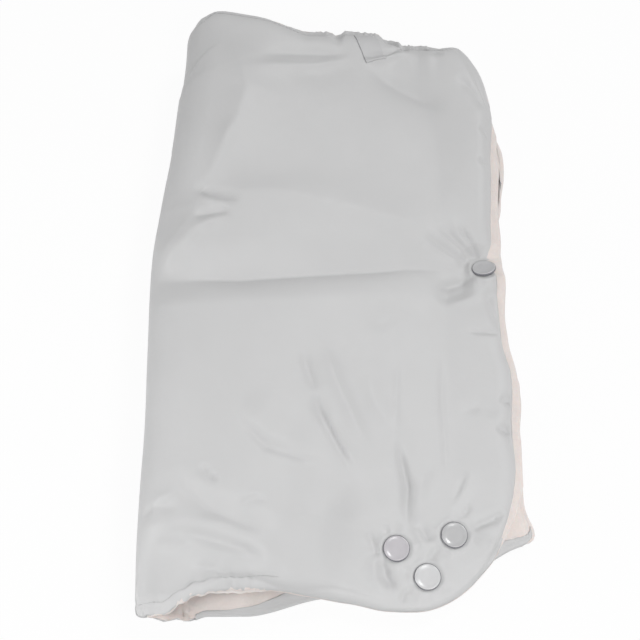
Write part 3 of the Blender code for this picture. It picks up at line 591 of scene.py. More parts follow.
def soft_lumps(flat_x, y):
    """Slow unevenness of the padding under the cloth."""
    a, b = flat_x / MM, y / MM
    rise = 0.9 * np.sin(a / 31 + 0.6 * np.sin(b / 47)) * np.sin(b / 38 + 0.8)
    rise = rise + 0.5 * np.sin(a / 17 + b / 29 + 1.1) * np.sin(b / 21 - a / 43)
    return 0.55 * rise * MM


def middle_tilt(x, y):
    """The cloth leans away round the middle press stud, which the crease pulls on."""
    middle_x, middle_y = SNAPS["middle"]
    radius = np.hypot(x - middle_x, y - middle_y)
    near = 1 - ramp(radius, (CAP_RADIUS, CAP_RADIUS + MIDDLE_LEAN_REACH))
    down = math.tan(MIDDLE_LEAN) * (y - middle_y) + math.tan(MIDDLE_SIDE_LEAN) * (x - middle_x)
    return -down * near


def cloth_rise(flat_x, x, y):
    """How far the front cloth stands out of its plain form."""
    rise = hem_puckers(flat_x, x, y) + snap_puckers(x, y) + soft_lumps(flat_x, y) * (1 - seat(x, y))
    for folds, roundness in ((FINE_FOLDS, FINE_ROUNDNESS), (CREST_FOLDS, CREST_ROUNDNESS)):
        for fold in folds:
            rise = rise + fold_line(flat_x, y, fold, roundness)
    return rise + middle_tilt(x, y)


def ear_squash(x, y, z):
    """The near end of the fold is pressed down into a flat ear."""
    share = ramp(x, EAR_SQUASH_X) * bell(np.maximum(y - BACK_NEAR_Y, 0), EAR_LENGTH)
    return z - np.maximum(z - EAR_TOP_Z, 0) * EAR_SQUASH_SHARE * share


# Grids of the panels. across is -1 under the fold, 0 at the fold line, 1 on top of the fold and
# 2 at the open side


def front_grid(across, along, depth=0.0, rise_share=1.0):
    """Places on the front panel at a depth under its cloth, and where they lie in the flat cloth.
    Layers under the cloth rise with rise_share of its folds and go down with its valleys."""
    across, along = np.meshgrid(across, along, indexing="ij")
    turn = np.clip(across, -1, 1) * math.pi / 2
    fold = fold_x(along)
    x = fold + FOLD_ROUND * (1 - np.cos(turn))
    x = np.where(across > 1, mix(fold + FOLD_ROUND, FRONT_OPEN_X, across - 1), x)
    x = np.where(across < -1, fold - FOLD_ROUND * across, x)
    front_y = mix(front_near_hem(x), front_far_hem(x), along)
    back_y = mix(back_near_hem(x), back_far_hem(x), along)
    y = mix(front_y, back_y, smooth(-across))
    x = drawn_in(x, y, FRONT_SIDE_SWAY)
    flat_x = np.where(across > 1, x, fold + FOLD_ROUND * (1 + math.pi / 2 * (across - 1)))
    top = front_outer(np.maximum(x, fold + FOLD_ROUND), y)
    bottom = back_outer(np.maximum(x, fold + FOLD_ROUND), y)
    z = mix(HINGE_Z, np.where(turn > 0, top, bottom), abs(np.sin(turn)))
    down = depth(x, y, across) if callable(depth) else depth
    rise = cloth_rise(flat_x, x, y) * smooth(1 + across)
    down = down - np.where(rise > 0, rise_share * rise, rise)
    x, z = x + down * np.cos(turn), z - down * np.sin(turn)
    return np.stack((x, y, ear_squash(x, y, z)), -1), np.stack((flat_x, y), -1)


def sheet_mesh(name, places, flat):
    """A sheet of quads through a grid of places, with its place in the flat cloth as UV map, and
    the row and column of each of its points."""
    columns, rows = places.shape[0] - 1, places.shape[1] - 1
    bpy.ops.object.select_all(action="DESELECT")
    bpy.ops.mesh.primitive_grid_add(x_subdivisions=columns, y_subdivisions=rows, size=1)
    sheet = bpy.context.object
    sheet.name = name
    mesh = sheet.data
    mesh.name = name
    count = len(mesh.vertices)
    start = np.empty(count * 3)
    mesh.vertices.foreach_get("co", start)
    start = start.reshape(-1, 3)
    i = np.rint((start[:, 0] + 0.5) * columns).astype(int)
    j = np.rint((start[:, 1] + 0.5) * rows).astype(int)
    mesh.vertices.foreach_set("co", places[i, j].ravel())
    corners = np.empty(len(mesh.loops), int)
    mesh.loops.foreach_get("vertex_index", corners)
    mesh.uv_layers[0].data.foreach_set("uv", flat[i, j][corners].ravel())
    mesh.update()
    return sheet, i, j


def choose(obj):
    bpy.ops.object.select_all(action="DESELECT")
    obj.select_set(True)
    bpy.context.view_layer.objects.active = obj


def thicken(obj, thickness, offset=-1.0):
    solid = obj.modifiers.new("Thickness", "SOLIDIFY")
    solid.thickness = thickness
    solid.offset = offset
    choose(obj)
    bpy.ops.object.modifier_apply(modifier=solid.name)


def face_up(obj, up=True):
    """Turn the faces so that most of them look up, or down."""
    normals = np.empty(len(obj.data.polygons) * 3)
    obj.data.polygons.foreach_get("normal", normals)
    if (normals.reshape(-1, 3)[:, 2].mean() > 0) != up:
        obj.data.flip_normals()


def cloth_sheet(name, places, flat, thickness, up):
    """A sheet whose outer side faces up or down and lies on the places."""
    sheet = sheet_mesh(name, places, flat)[0]
    face_up(sheet, up)
    thicken(sheet, thickness)
    return sheet


def lines(*stretches):
    """Grid lines from stretches of (start, end, number of cells)."""
    found = [np.linspace(start, end, cells, endpoint=False) for start, end, cells in stretches]
    return np.concatenate(found + [[stretches[-1][1]]])


# Materials


class Finish:
    """A material under construction."""

    def __init__(self, name, colour, roughness, metallic=0.0):
        self.surface = bpy.data.materials.new(name)
        self.surface.use_nodes = True
        self.nodes = self.surface.node_tree.nodes
        self.links = self.surface.node_tree.links
        self.shader = self.nodes["Principled BSDF"]
        self.shader.inputs["Base Color"].default_value = (*colour, 1)
        self.shader.inputs["Roughness"].default_value = roughness
        self.shader.inputs["Metallic"].default_value = metallic
        self.colour = colour

    def set(self, **values):
        for name, value in values.items():
            self.shader.inputs[name.replace("_", " ")].default_value = value
        return self

    def node(self, kind, **inputs):
        made = self.nodes.new(kind)
        for name, value in inputs.items():
            made.inputs[name.replace("_", " ")].default_value = value
        return made

    def coordinates(self, output, scale=(1, 1, 1)):
        source = self.nodes.new("ShaderNodeTexCoord")
        mapping = self.node("ShaderNodeMapping", Scale=scale)
        self.links.new(source.outputs[output], mapping.inputs["Vector"])
        return mapping.outputs["Vector"]

    def noise(self, vector, scale, detail=3.0, roughness=0.5):
        made = self.node("ShaderNodeTexNoise", Scale=scale, Detail=detail, Roughness=roughness)
        self.links.new(vector, made.inputs["Vector"])
        return made.outputs["Fac"]

    def math(self, operation, first, second):
        made = self.nodes.new("ShaderNodeMath")
        made.operation = operation
        for socket, value in zip(made.inputs, (first, second)):
            if isinstance(value, (int, float)):
                socket.default_value = value
            else:
                self.links.new(value, socket)
        return made.outputs["Value"]

    def wave(self, vector, scale, direction):
        made = self.node("ShaderNodeTexWave", Scale=scale)
        made.bands_direction = direction
        self.links.new(vector, made.inputs["Vector"])
        return made.outputs["Fac"]

    def shade(self, factor, low, high):
        """Base colour between low and high times the plain colour."""
        ramp = self.nodes.new("ShaderNodeValToRGB")
        for element, share in zip(ramp.color_ramp.elements, (low, high)):
            element.color = (*(min(1.0, part * share) for part in self.colour), 1)
        self.links.new(factor, ramp.inputs["Fac"])
        self.links.new(ramp.outputs["Color"], self.shader.inputs["Base Color"])
        return self

    def bump(self, height, strength, distance, after=None):
        made = self.node("ShaderNodeBump", Strength=strength, Distance=distance)
        self.links.new(height, made.inputs["Height"])
        if after:
            self.links.new(after.outputs["Normal"], made.inputs["Normal"])
        self.links.new(made.outputs["Normal"], self.shader.inputs["Normal"])
        return made

    def rough(self, factor, low, high):
        spread = self.node("ShaderNodeMapRange", To_Min=low, To_Max=high)
        self.links.new(factor, spread.inputs["Value"])
        self.links.new(spread.outputs["Result"], self.shader.inputs["Roughness"])
        return self


def woven(name, colour, pitch, source="UV", sheen=0.15):
    """Plain woven cloth, its threads pitch apart, with slubs and small creases."""
    cloth = Finish(name, colour, 0.55)
    cloth.set(Sheen_Weight=sheen, Sheen_Roughness=0.4)
    plane = cloth.coordinates(source)
    weave = cloth.math("MULTIPLY", *(cloth.wave(plane, 0.2 / pitch, way) for way in ("X", "Y")))
    slub = cloth.noise(cloth.coordinates(source, (400, 60, 1)), 1.0)
    thread = cloth.math("ADD", weave, cloth.math("MULTIPLY", slub, 0.6))
    patches = cloth.noise(plane, 26.0, 4.0)
    cloth.shade(patches, 0.965, 1.03)
    cloth.rough(cloth.noise(plane, 120.0), 0.46, 0.62)
    waves = cloth.noise(cloth.coordinates(source, (1, 0.6, 1)), 34.0, 2.0, 0.5)
    rumple = cloth.bump(waves, 0.3, 1.6 * MM)
    crumple = cloth.bump(cloth.noise(plane, 90.0, 5.0, 0.6), 0.35, 0.6 * MM, after=rumple)
    cloth.bump(thread, 0.12, 0.05 * MM, after=crumple)
    return cloth.surface


def fleece(name, colour):
    """Short napped pile."""
    nap = Finish(name, colour, 0.95)
    nap.set(Sheen_Weight=0.5, Sheen_Roughness=0.6, Subsurface_Weight=0.12)
    nap.shader.inputs["Subsurface Radius"].default_value = (1.0, 0.5, 0.35)
    nap.shader.inputs["Subsurface Scale"].default_value = 2 * MM
    place = nap.coordinates("Object")
    tufts = nap.noise(place, 420.0, 4.0, 0.65)
    clumps = nap.noise(place, 90.0, 3.0)
    both = nap.math("ADD", nap.math("MULTIPLY", tufts, 0.5), nap.math("MULTIPLY", clumps, 0.5))
    nap.shade(both, 0.86, 1.1)
    soft = nap.bump(clumps, 0.35, 1.2 * MM)
    nap.bump(tufts, 0.6, 0.6 * MM, after=soft)
    return nap.surface


def moulded(name, colour, roughness, coat=0.0):
    """Moulded plastic with a faint grain."""
    plastic = Finish(name, colour, roughness)
    plastic.set(Coat_Weight=coat, Coat_Roughness=0.12)
    place = plastic.coordinates("Object")
    swirl = plastic.noise(place, 160.0, 2.0)
    plastic.shade(swirl, 0.93, 1.06)
    plastic.rough(plastic.noise(place, 600.0), roughness - 0.05, roughness + 0.08)
    plastic.bump(plastic.noise(place, 900.0), 0.05, 0.05 * MM)
    return plastic.surface


def spring_wire(name):
    steel = Finish(name, (0.62, 0.62, 0.63), 0.28, 1.0)
    place = steel.coordinates("Object")
    steel.rough(steel.noise(place, 1500.0), 0.22, 0.4)
    steel.bump(steel.noise(place, 2500.0), 0.1, 0.02 * MM)
    return steel.surface


def fibres(name, colour):
    """Loose fibre wadding."""
    pad = Finish(name, colour, 1.0)
    place = pad.coordinates("Object", (1, 1, 0.4))
    strands = pad.noise(place, 700.0, 6.0, 0.8)
    pad.shade(strands, 0.8, 1.08)
    pad.bump(strands, 0.8, 0.5 * MM)
    return pad.surface


cloth_finish = woven("grey woven cloth", CLOTH_GREY, 0.5 * MM)
fleece_finish = fleece("blush fleece", FLEECE_BLUSH)
tape_finish = woven("grey tape", TAPE_GREY, 0.7 * MM)
thread_finish = woven("grey thread", CLOTH_GREY, 0.3 * MM, "Object")
elastic_finish = woven("white elastic", (0.74, 0.74, 0.73), 0.9 * MM, "Object")
wadding_finish = fibres("fibre wadding", WADDING_WHITE)
snap_finish = moulded("grey snap plastic", (0.6, 0.6, 0.61), 0.4)
steel_finish = spring_wire("spring wire")
cap_finishes = {
    "inner": moulded("lavender cap", CAP_LAVENDER, 0.3, 0.5),
    "outer": moulded("grey cap", CAP_GREY, 0.3, 0.5),
    "hem": moulded("pearl cap", CAP_PEARL, 0.3, 0.5),
    "middle": moulded("dull cap", CAP_DULL, 0.35, 0.4),
}
# The dark finish on the caps' outer walls is painted shade of the gap under each cap
rim_shade_finish = moulded("cap rim painted shade", CAP_RIM_SHADE, 0.35)


def dress(obj, finish):
    obj.data.materials.clear()
    obj.data.materials.append(finish)
    obj.data.shade_smooth()


# Cloth of the front panel, which also goes round the fold to the underside


# How far the cloth falls at its edges, and over which width. The side has two values: plain, and
# along its far half
HEM_FALL = 3 * MM
HEM_FALL_WIDTH = 7 * MM
SIDE_FALL = (1.5 * MM, 3.6 * MM)
SIDE_FALL_WIDTH = (3.5 * MM, 9 * MM)


def edge_fall(x, y, across):
    """The cloth turns down over its last millimetres at the open side and the hems."""
    ends = np.minimum(y - front_near_hem(x), front_far_hem(x) - y)
    side = np.where(across > 1, front_side(y) - x, 1.0)
    far_side = ramp(y, (0, 30 * MM)) * ramp(y, (200 * MM, 160 * MM))
    side_depth, side_width = mix(*SIDE_FALL, far_side), mix(*SIDE_FALL_WIDTH, far_side)
    hem_fall = HEM_FALL * (1 - quarter(ends / HEM_FALL_WIDTH))
    return np.maximum(hem_fall, side_depth * (1 - quarter(side / side_width)))


FRONT_ACROSS = lines((-1, 0, 10), (0, 1, 24), (1, 1.5, 60), (1.5, 1.93, 66), (1.93, 2, 18))
FRONT_ALONG = lines(
    (0, 0.03, 12), (0.03, 0.2, 54), (0.2, 0.44, 66), (0.44, 0.6, 44), (0.6, 0.9, 48), (0.9, 1, 36),
)

places, flat = front_grid(FRONT_ACROSS, FRONT_ALONG, edge_fall)
front_cloth = cloth_sheet("front_cloth", places, flat, 0.6 * MM, up=True)
dress(front_cloth, cloth_finish)
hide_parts("front_shell")


# Cloth of the back panel


def pull_corner(places):
    """The near corner of the back panel is pulled out to a point, past the front panel."""
    x, y, z = np.moveaxis(places, -1, 0)
    pull = bell(np.hypot(x - PULLED_X, y - PULLED_Y), PULL_REACH)
    return np.stack((x + PULL_OUT * pull, y - PULL_NEAR * pull, z), -1)


def back_grid(across, along, height):
    """Places on the back panel. across is 0 under the fold and 1 at the open side."""
    across, along = np.meshgrid(across, along, indexing="ij")
    x = mix(fold_x(along) + FOLD_ROUND, BACK_OPEN_X, across)
    y = mix(back_near_hem(x), back_far_hem(x), along)
    x = drawn_in(x, y, BACK_SIDE_SWAY)
    return pull_corner(np.stack((x, y, height(x, y)), -1)), np.stack((x, y), -1)


def mouth_fleece(x, y):
    """Inner face of the back fleece, which bulges up in the near mouth."""
    bulge = bell(y - back_near_hem(x) - MOUTH_BULGE_IN, MOUTH_BULGE_LENGTH)
    bulge = bulge * swell(x, MOUTH_BULGE_X, MOUTH_BULGE_WIDTH) * MOUTH_BULGE
    return back_inner(x, y) + bulge * (1 + 0.35 * ripple(x / (15 * MM), 0.4))


BACK_ACROSS = lines((0, 0.6, 30), (0.6, 0.95, 30), (0.95, 1, 10))
BACK_ALONG = lines((0, 0.03, 8), (0.03, 0.25, 30), (0.25, 0.95, 60), (0.95, 1, 10))

places, flat = back_grid(BACK_ACROSS, BACK_ALONG, back_outer)
back_cloth = cloth_sheet("back_cloth", places, flat, 0.6 * MM, up=False)
dress(back_cloth, cloth_finish)
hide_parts("back_shell")


# Fleece linings


def fleece_depth(x, y, across):
    wall = np.where(across > 0, front_wall(x, y), back_wall(x, y) + 0.4 * MM * (across < -1))
    return np.where(abs(across) < 1, WALL_FULL, wall)


FLEECE_ACROSS = lines((-1.15, -1, 3), (-1, 1, 26), (1, 2, 90))
FLEECE_ALONG = lines((0, 0.05, 8), (0.05, 0.95, 130), (0.95, 1, 8))

places, flat = front_grid(FLEECE_ACROSS, FLEECE_ALONG, fleece_depth, rise_share=0.35)
front_fleece = cloth_sheet("front_fleece", places, flat, 1.2 * MM, up=False)
dress(front_fleece, fleece_finish)
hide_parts("front_lining")

places, flat = back_grid(BACK_ACROSS, mix(0.001, 0.994, BACK_ALONG), mouth_fleece)
back_fleece = cloth_sheet("back_fleece", places, flat, 1.2 * MM, up=True)
dress(back_fleece, fleece_finish)
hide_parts("back_lining")


# Wadding between cloth and fleece


def padding_sheet(name, places, flat, thickness, up):
    """A pad that fills the given thickness under the sheet."""
    pad, i, j = sheet_mesh(name, places, flat)
    face_up(pad, up)
    largest = float(thickness.max())
    group = pad.vertex_groups.new(name="packing")
    for index, share in enumerate(thickness[i, j] / largest):
        group.add([index], float(share), "REPLACE")
    solid = pad.modifiers.new("Packing", "SOLIDIFY")
    solid.thickness = largest
    solid.offset = -1
    solid.vertex_group = "packing"
    choose(pad)
    bpy.ops.object.modifier_apply(modifier=solid.name)
    pad.vertex_groups.clear()
    return pad


PAD_ACROSS = lines((0.05, 1, 12), (1, 1.96, 70))
PAD_ALONG = lines((0.03, 0.97, 130))
places, flat = front_grid(PAD_ACROSS, PAD_ALONG, 2.2 * MM, rise_share=0.5)
room = front_wall(places[..., 0], places[..., 1]) - LINING_THICK - 2.6 * MM
front_pad = padding_sheet("front_pad", places, flat, np.maximum(room, 0.3 * MM), True)
dress(front_pad, wadding_finish)
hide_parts("front_wadding")



def back_pad_underside(x, y):
    return back_outer(x, y) + 1.1 * MM


places, flat = back_grid(lines((0, 0.97, 60)), lines((0.02, 0.98, 90)), back_pad_underside)
room = back_wall(places[..., 0], places[..., 1]) - LINING_THICK - 1.7 * MM
back_pad = padding_sheet("back_pad", places, flat, np.maximum(room, 0.3 * MM), False)
dress(back_pad, wadding_finish)
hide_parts("back_wadding")


# Rolled fleece edges, swept along the hems


def hem_station(across, along):
    places, flat = front_grid(np.array([across]), np.array([along]), 0.0, 0.6)
    turn = np.clip(across, -1, 1) * math.pi / 2
    return Vector(places[0, 0]), turn


def tube_along(name, stations, outward, inward, reach, half_depth, sides=12):
    """A flattened tube along stations, reach wide outwards and half_depth to each side."""
    count = len(stations)
    places = np.zeros((count, sides + 1, 3))
    flat = np.zeros((count, sides + 1, 2))
    length = 0.0
    for k in range(count):
        if k:
            length += (stations[k] - stations[k - 1]).length
        for side in range(sides + 1):
            angle = 2 * math.pi * side / sides
            out, down = reach[k] * math.cos(angle), half_depth[k] * math.sin(angle)
            places[k, side] = stations[k] + outward[k] * out + inward[k] * down
            flat[k, side] = (length, angle * MM)
    tube = sheet_mesh(name, places, flat)[0]
    choose(tube)
    bpy.ops.object.mode_set(mode="EDIT")
    bpy.ops.mesh.select_all(action="SELECT")
    bpy.ops.mesh.remove_doubles(threshold=0.01 * MM)
    bpy.ops.mesh.select_all(action="DESELECT")
    bpy.ops.mesh.select_non_manifold()
    bpy.ops.mesh.edge_face_add()
    bpy.ops.mesh.select_all(action="SELECT")
    bpy.ops.mesh.normals_make_consistent(inside=False)
    bpy.ops.object.mode_set(mode="OBJECT")
    return tube


def front_outline():
    """Stations round the hems of the front panel, from under the fold to under the fold."""
    spots = [(across, 0.0) for across in np.linspace(-0.9, 2, 230)]
    spots += [(2.0, along) for along in np.linspace(0, 1, 150)[1:-1]]
    spots += [(across, 1.0) for across in np.linspace(2, -0.9, 230)]
    return spots


def spaced(stations, gap):
    """Stations at least gap apart."""
    kept = [stations[0]]
    for station in stations[1:]:
        if (station[0] - kept[-1][0]).length > gap:
            kept.append(station)
    return kept


def rolled_edge(name, stations, wide, deep, sink, tuck):
    """A rolled fleece edge along stations of (place, turn round the fold). The functions wide,
    deep, sink and tuck give its size and place in millimetres at x, y."""
    path, outward, inward, reach, half = [], [], [], [], []
    for k, (place, turn) in enumerate(stations):
        run = (stations[min(k + 1, len(stations) - 1)][0] - stations[max(k - 1, 0)][0]).normalized()
        down = Vector((math.cos(turn), 0, -math.sin(turn)))
        out = run.cross(down).normalized()
        if out.dot(place - Vector((0, 0, place.z))) < 0:
            out = -out
        x, y = place.x, place.y
        path.append(place + down * (sink(x, y) * MM) - out * (tuck(x, y) * MM))
        outward.append(out)
        inward.append(down)
        reach.append(wide(x, y) * MM)
        half.append(deep(x, y) * MM)
    return tube_along(name, path, outward, inward, reach, half)


def open_share(x, y):
    """1 along the stretch of the open side where the fleece rolls out past the cloth."""
    near_share, far_share = ramp(y, (-200 * MM, -140 * MM)), ramp(y, (170 * MM, 124 * MM))
    return float(ramp(x, (84 * MM, 118 * MM)) * near_share * far_share)


def mouth_share(x, y):
    """1 where the fleece peeps out in the near mouth."""
    return float(swell(x, -70 * MM, 46 * MM) * ramp(y, (-190 * MM, -200 * MM)))


def lip_inset(x):
    """How far the fleece lies inside the lip of the near mouth, in millimetres."""
    return float(mix(2.2, 1.0, ramp(x, (-84 * MM, -58 * MM))))


def far_sunk(y):
    """1 along the far hem, where the fleece lies well inside the cloth."""
    return float(ramp(y, (150 * MM, 190 * MM)))


def round_hem(x, y, plain, in_mouth, on_side):
    """A size of the rolled edge: plain, in the near mouth, and on the open side."""
    return mix(mix(plain, in_mouth, mouth_share(x, y)), on_side, open_share(x, y))


def front_roll_width(x, y):
    roll = 5.4 + 1.1 * math.sin(y / (23 * MM)) + 0.6 * math.sin(y / (7.3 * MM))
    return round_hem(x, y, 1.3, 1.8, roll)


front_rim = rolled_edge(
    "front_rim",
    spaced([hem_station(*spot) for spot in front_outline()], 1.6 * MM),
    wide=front_roll_width,
    deep=lambda x, y: round_hem(x, y, 1.3, 6, 1.75),
    sink=lambda x, y: round_hem(x, y, 2.9, 7, 2.6) + 1.4 * far_sunk(y),
    tuck=lambda x, y: round_hem(x, y, 2.0, lip_inset(x), -0.2) + 2 * far_sunk(y),
)
dress(front_rim, fleece_finish)


def back_side_stations():
    """The open side of the back panel, on its inner face."""
    y = np.linspace(BACK_NEAR_Y + BACK_SLOPE_RISE - 3 * MM, BACK_FAR_Y - 40 * MM, 240)
    x = back_side(y)
    places = pull_corner(np.stack((x, y, back_inner(x, y)), -1))
    return [(Vector(place), math.pi / 2) for place in places]


def far_hidden(y):
    """1 where the front panel hides the fleece of the back panel, towards the far end."""
    return float(ramp(y, (128 * MM, 172 * MM)))


def back_roll_width(x, y):
    roll = 2.4 + 0.7 * math.sin(y / (17 * MM)) + 0.4 * math.sin(y / (5.9 * MM))
    return mix(roll, 1, far_hidden(y))


back_rim = rolled_edge(
    "back_rim",
    spaced(back_side_stations(), 1.6 * MM),
    wide=back_roll_width,
    deep=lambda x, y: 1.5,
    sink=lambda x, y: 1.5,
    tuck=lambda x, y: mix(0.3, 6, far_hidden(y)),
)
dress(back_rim, fleece_finish)


# Facing of the back panel: its cloth comes up round the near hem and lies on the fleece


def facing_width(x):
    corner = mix(0.35, 1, ramp(x, (BACK_OPEN_X - 12 * MM, BACK_OPEN_X - 32 * MM)))
    widening = ramp(x, (FACING_START_X + 16 * MM, FACING_START_X + 106 * MM))
    return FACING_WIDTH * widening * corner + 1.5 * MM


def near_facing_grid(across, round_steps, flat_steps):
    """Places of the facing, from under the hem, up round it and in over the fleece."""
    x = mix(FACING_START_X, BACK_OPEN_X - 1 * MM, across)[:, None]
    hem = back_near_hem(x)
    turn = np.linspace(0, 1, round_steps)[None, :] * math.pi
    low, high = back_outer(x, hem) - 0.1 * MM, mouth_fleece(x, hem + 1.2 * MM) + 0.5 * MM
    half = (high - low) / 2
    round_y = hem + 1.2 * MM - 2.2 * MM * np.sin(turn)
    round_z = (high + low) / 2 - half * np.cos(turn)
    share = np.linspace(0, 1, flat_steps)[None, 1:]
    flat_y = hem + 1.2 * MM + share * facing_width(x)
    wrinkle = 0.5 * MM * ripple(x / (7 * MM) + 2.2 * share, 0.6) * np.sin(math.pi * share) ** 0.5
    flat_z = mouth_fleece(x + 0 * flat_y, flat_y) + 0.5 * MM + abs(wrinkle)
    y = np.concatenate((round_y + 0 * x, flat_y), 1)
    z = np.concatenate((round_z, flat_z), 1)
    x = x + 0 * y
    return pull_corner(np.stack((x, y, z), -1)), np.stack((x, y), -1)


places, flat = near_facing_grid(lines((0, 1, 190)), 9, 9)
near_facing = cloth_sheet("near_facing", places, flat, 0.4 * MM, up=True)
dress(near_facing, cloth_finish)


# Elastic in the casings of the two mouths


def casing_elastic(name, start_share, end_share, end_across):
    """Flat elastic between cloth and fleece. The shares are along the panel."""
    spots = lines((0.5, 1, 14), (1, end_across, 60))
    places, flat = front_grid(spots, np.linspace(start_share, end_share, 5), 1.2 * MM)
    ribbon = cloth_sheet(name, places, flat, 0.5 * MM, up=True)
    dress(ribbon, elastic_finish)
    return ribbon


near_elastic = casing_elastic("near_elastic", 0.009, 0.0215, 1.41)
far_elastic = casing_elastic("far_elastic", 0.9785, 0.991, 1.72)
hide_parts("near_hem_elastic")
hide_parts("far_hem_elastic")


# Topstitching along the casings. One stitch is modelled and copied along the seam


def one_stitch(name, length, thick):
    """A stitch that lies along X, its ends going down into the cloth."""
    bpy.ops.object.select_all(action="DESELECT")
    bpy.ops.mesh.primitive_cylinder_add(
        vertices=6, radius=thick / 2, depth=length, rotation=(0, math.pi / 2, 0),
    )
    stitch = bpy.context.object
    stitch.name = name
    bpy.ops.object.transform_apply(location=True, rotation=True, scale=True)
    bpy.ops.object.mode_set(mode="EDIT")
    bpy.ops.mesh.select_all(action="SELECT")
    bpy.ops.mesh.bevel(offset=thick * 0.35, segments=1, affect="EDGES")
    bpy.ops.object.mode_set(mode="OBJECT")
    return stitch


def stitch_row(name, places, normals, length=2.3 * MM, thick=0.45 * MM):
    """A row of stitches, one from each place towards the next."""
    first = one_stitch(name, length, thick)
    copies = [first]
    for k in range(len(places) - 1):
        run = (places[k + 1] - places[k]).normalized()
        up = normals[k]
        side = up.cross(run).normalized()
        stitch = first
        if k:
            stitch = first.copy()
            stitch.data = first.data.copy()
            bpy.context.collection.objects.link(stitch)
            copies.append(stitch)
        stitch["turn"] = [*run, *side, *run.cross(side), *places[k]]
    start = first.data.copy()
    for stitch in copies:
        run, side, up, place = (Vector(stitch["turn"][3 * n:3 * n + 3]) for n in range(4))
        for vert, plain in zip(stitch.data.vertices, start.vertices):
            vert.co = place + run * plain.co.x + side * plain.co.y + up * plain.co.z
        del stitch["turn"]
    bpy.data.meshes.remove(start)
    bpy.ops.object.select_all(action="DESELECT")
    for stitch in copies:
        stitch.select_set(True)
    bpy.context.view_layer.objects.active = first
    bpy.ops.object.join()
    return first


def seam_places(across, along, lift):
    """Places of a seam on the front cloth, and the directions out of the cloth there."""
    places, _ = front_grid(across, np.array([along, along + 0.002]), -lift)
    row, beside = places[:, 0], places[:, 1]
    run = np.gradient(row, axis=0)
    out = np.cross(run, beside - row)
    out /= np.linalg.norm(out, axis=1, keepdims=True)
    return [Vector(place) for place in row], [Vector(direction) for direction in out]


def evenly(across, along, gap):
    """Values of across that lie about gap apart on the cloth."""
    fine = np.linspace(*across, 1500)
    places, _ = front_grid(fine, np.array([along]), 0.0)
    steps = np.linalg.norm(np.diff(places[:, 0], axis=0), axis=1)
    length = np.concatenate(([0], np.cumsum(steps)))
    return np.interp(np.arange(0, length[-1], gap), length, fine)


def topstitching(name, along, across):
    row = stitch_row(name, *seam_places(evenly(across, along, 3.2 * MM), along, 0.1 * MM))
    dress(row, thread_finish)
    return row


NEAR_SEAM = CASING_WIDTH / (FRONT_FAR_Y - FRONT_NEAR_Y)
near_stitches = topstitching("near_topstitching", NEAR_SEAM, (0.3, 1.3))
far_stitches = topstitching("far_topstitching", 1 - NEAR_SEAM, (0.5, 1.46))
side_stitches = topstitching("far_side_topstitching", 1 - NEAR_SEAM, (1.585, 1.86))


# Tab: a loop of tape that hangs from the far hem

TAB_X = 24 * MM
TAB_WIDTH = 18 * MM
TAB_ROOT = (TAB_X + 1 * MM, FRONT_FAR_Y - 1 * MM)
TAB_RUN = (8.6 * MM, -26 * MM)
TAB_PLY = 0.25 * MM
TAB_LIFT = 0.3 * MM
TAB_SIDEWAYS = 7 * MM
TAB_NARROWING = 0.14


def tab_grid(side_steps, run_steps):
    """Places of the tape: down over the cloth, round its free end, and back under itself."""
    side = 0.5 * np.sin(np.linspace(-math.pi / 2, math.pi / 2, side_steps))[:, None]
    run = np.concatenate((np.linspace(0, 1, run_steps), np.linspace(1, 0, run_steps)))[None, :]
    under = np.concatenate((np.zeros(run_steps), np.ones(run_steps)))[None, :]
    bend = 0.3 * MM * np.sqrt(np.clip((1 - run) / 0.05, 0, 1)) * (1 - under)
    x = TAB_ROOT[0] + TAB_RUN[0] * run + side * TAB_WIDTH * (1 - TAB_NARROWING * run)
    y = TAB_ROOT[1] + TAB_RUN[1] * run + TAB_SIDEWAYS * side * run
    ground = front_outer(x, y) + cloth_rise(x, x, y)
    arch = 0.4 * MM * np.cos(math.pi * side) * (1 - 0.5 * run)
    arch = arch + 0.3 * MM * np.sin(math.pi * run) * (0.5 + side)
    z = ground + TAB_LIFT + arch + bend - 0.3 * MM * under * np.clip(run / 0.9, 0, 1)
    flat = np.stack((x + 0 * z, TAB_RUN[1] * (run + 2 * under * (1 - run)) + 0 * z), -1)
    return np.stack((x + 0 * z, y, z), -1), flat


places, flat = tab_grid(17, 30)
tab_tape = cloth_sheet("tab_tape", places, flat, TAB_PLY, up=True)
dress(tab_tape, tape_finish)
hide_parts("label_tab")


def tab_seam(run_share):
    """Places across the tab near its free end."""
    places, _ = tab_grid(9, 30)
    column = int(run_share * 29)
    row = places[:, column] + np.array((0, 0, 0.15 * MM))
    return [Vector(place) for place in row], [Vector((0, 0, 1))] * len(row)


tab_stitches = stitch_row("tab_stitches", *tab_seam(0.86), length=1.5 * MM, thick=0.4 * MM)
dress(tab_stitches, thread_finish)


# Press stud caps: a dished face inside a raised rim, with the shank that is riveted behind it

CAP_PROFILE = (
    (1.2, 1.7), (4.5, 1.75), (7.0, 1.9), (7.3, 2.1), (7.7, 2.2), (8.1, 2.15), (8.35, 1.95),
    (8.5, 1.75), (8.8, 1.6), (9.0, 1.2), (9.0, 0.6), (8.7, 0.2), (8.0, 0), (2.0, 0), (2.0, -4.4),
)
# Where the painted shade on the cap's outer wall begins
CAP_RIM_SHADE_FROM = 8.55 * MM


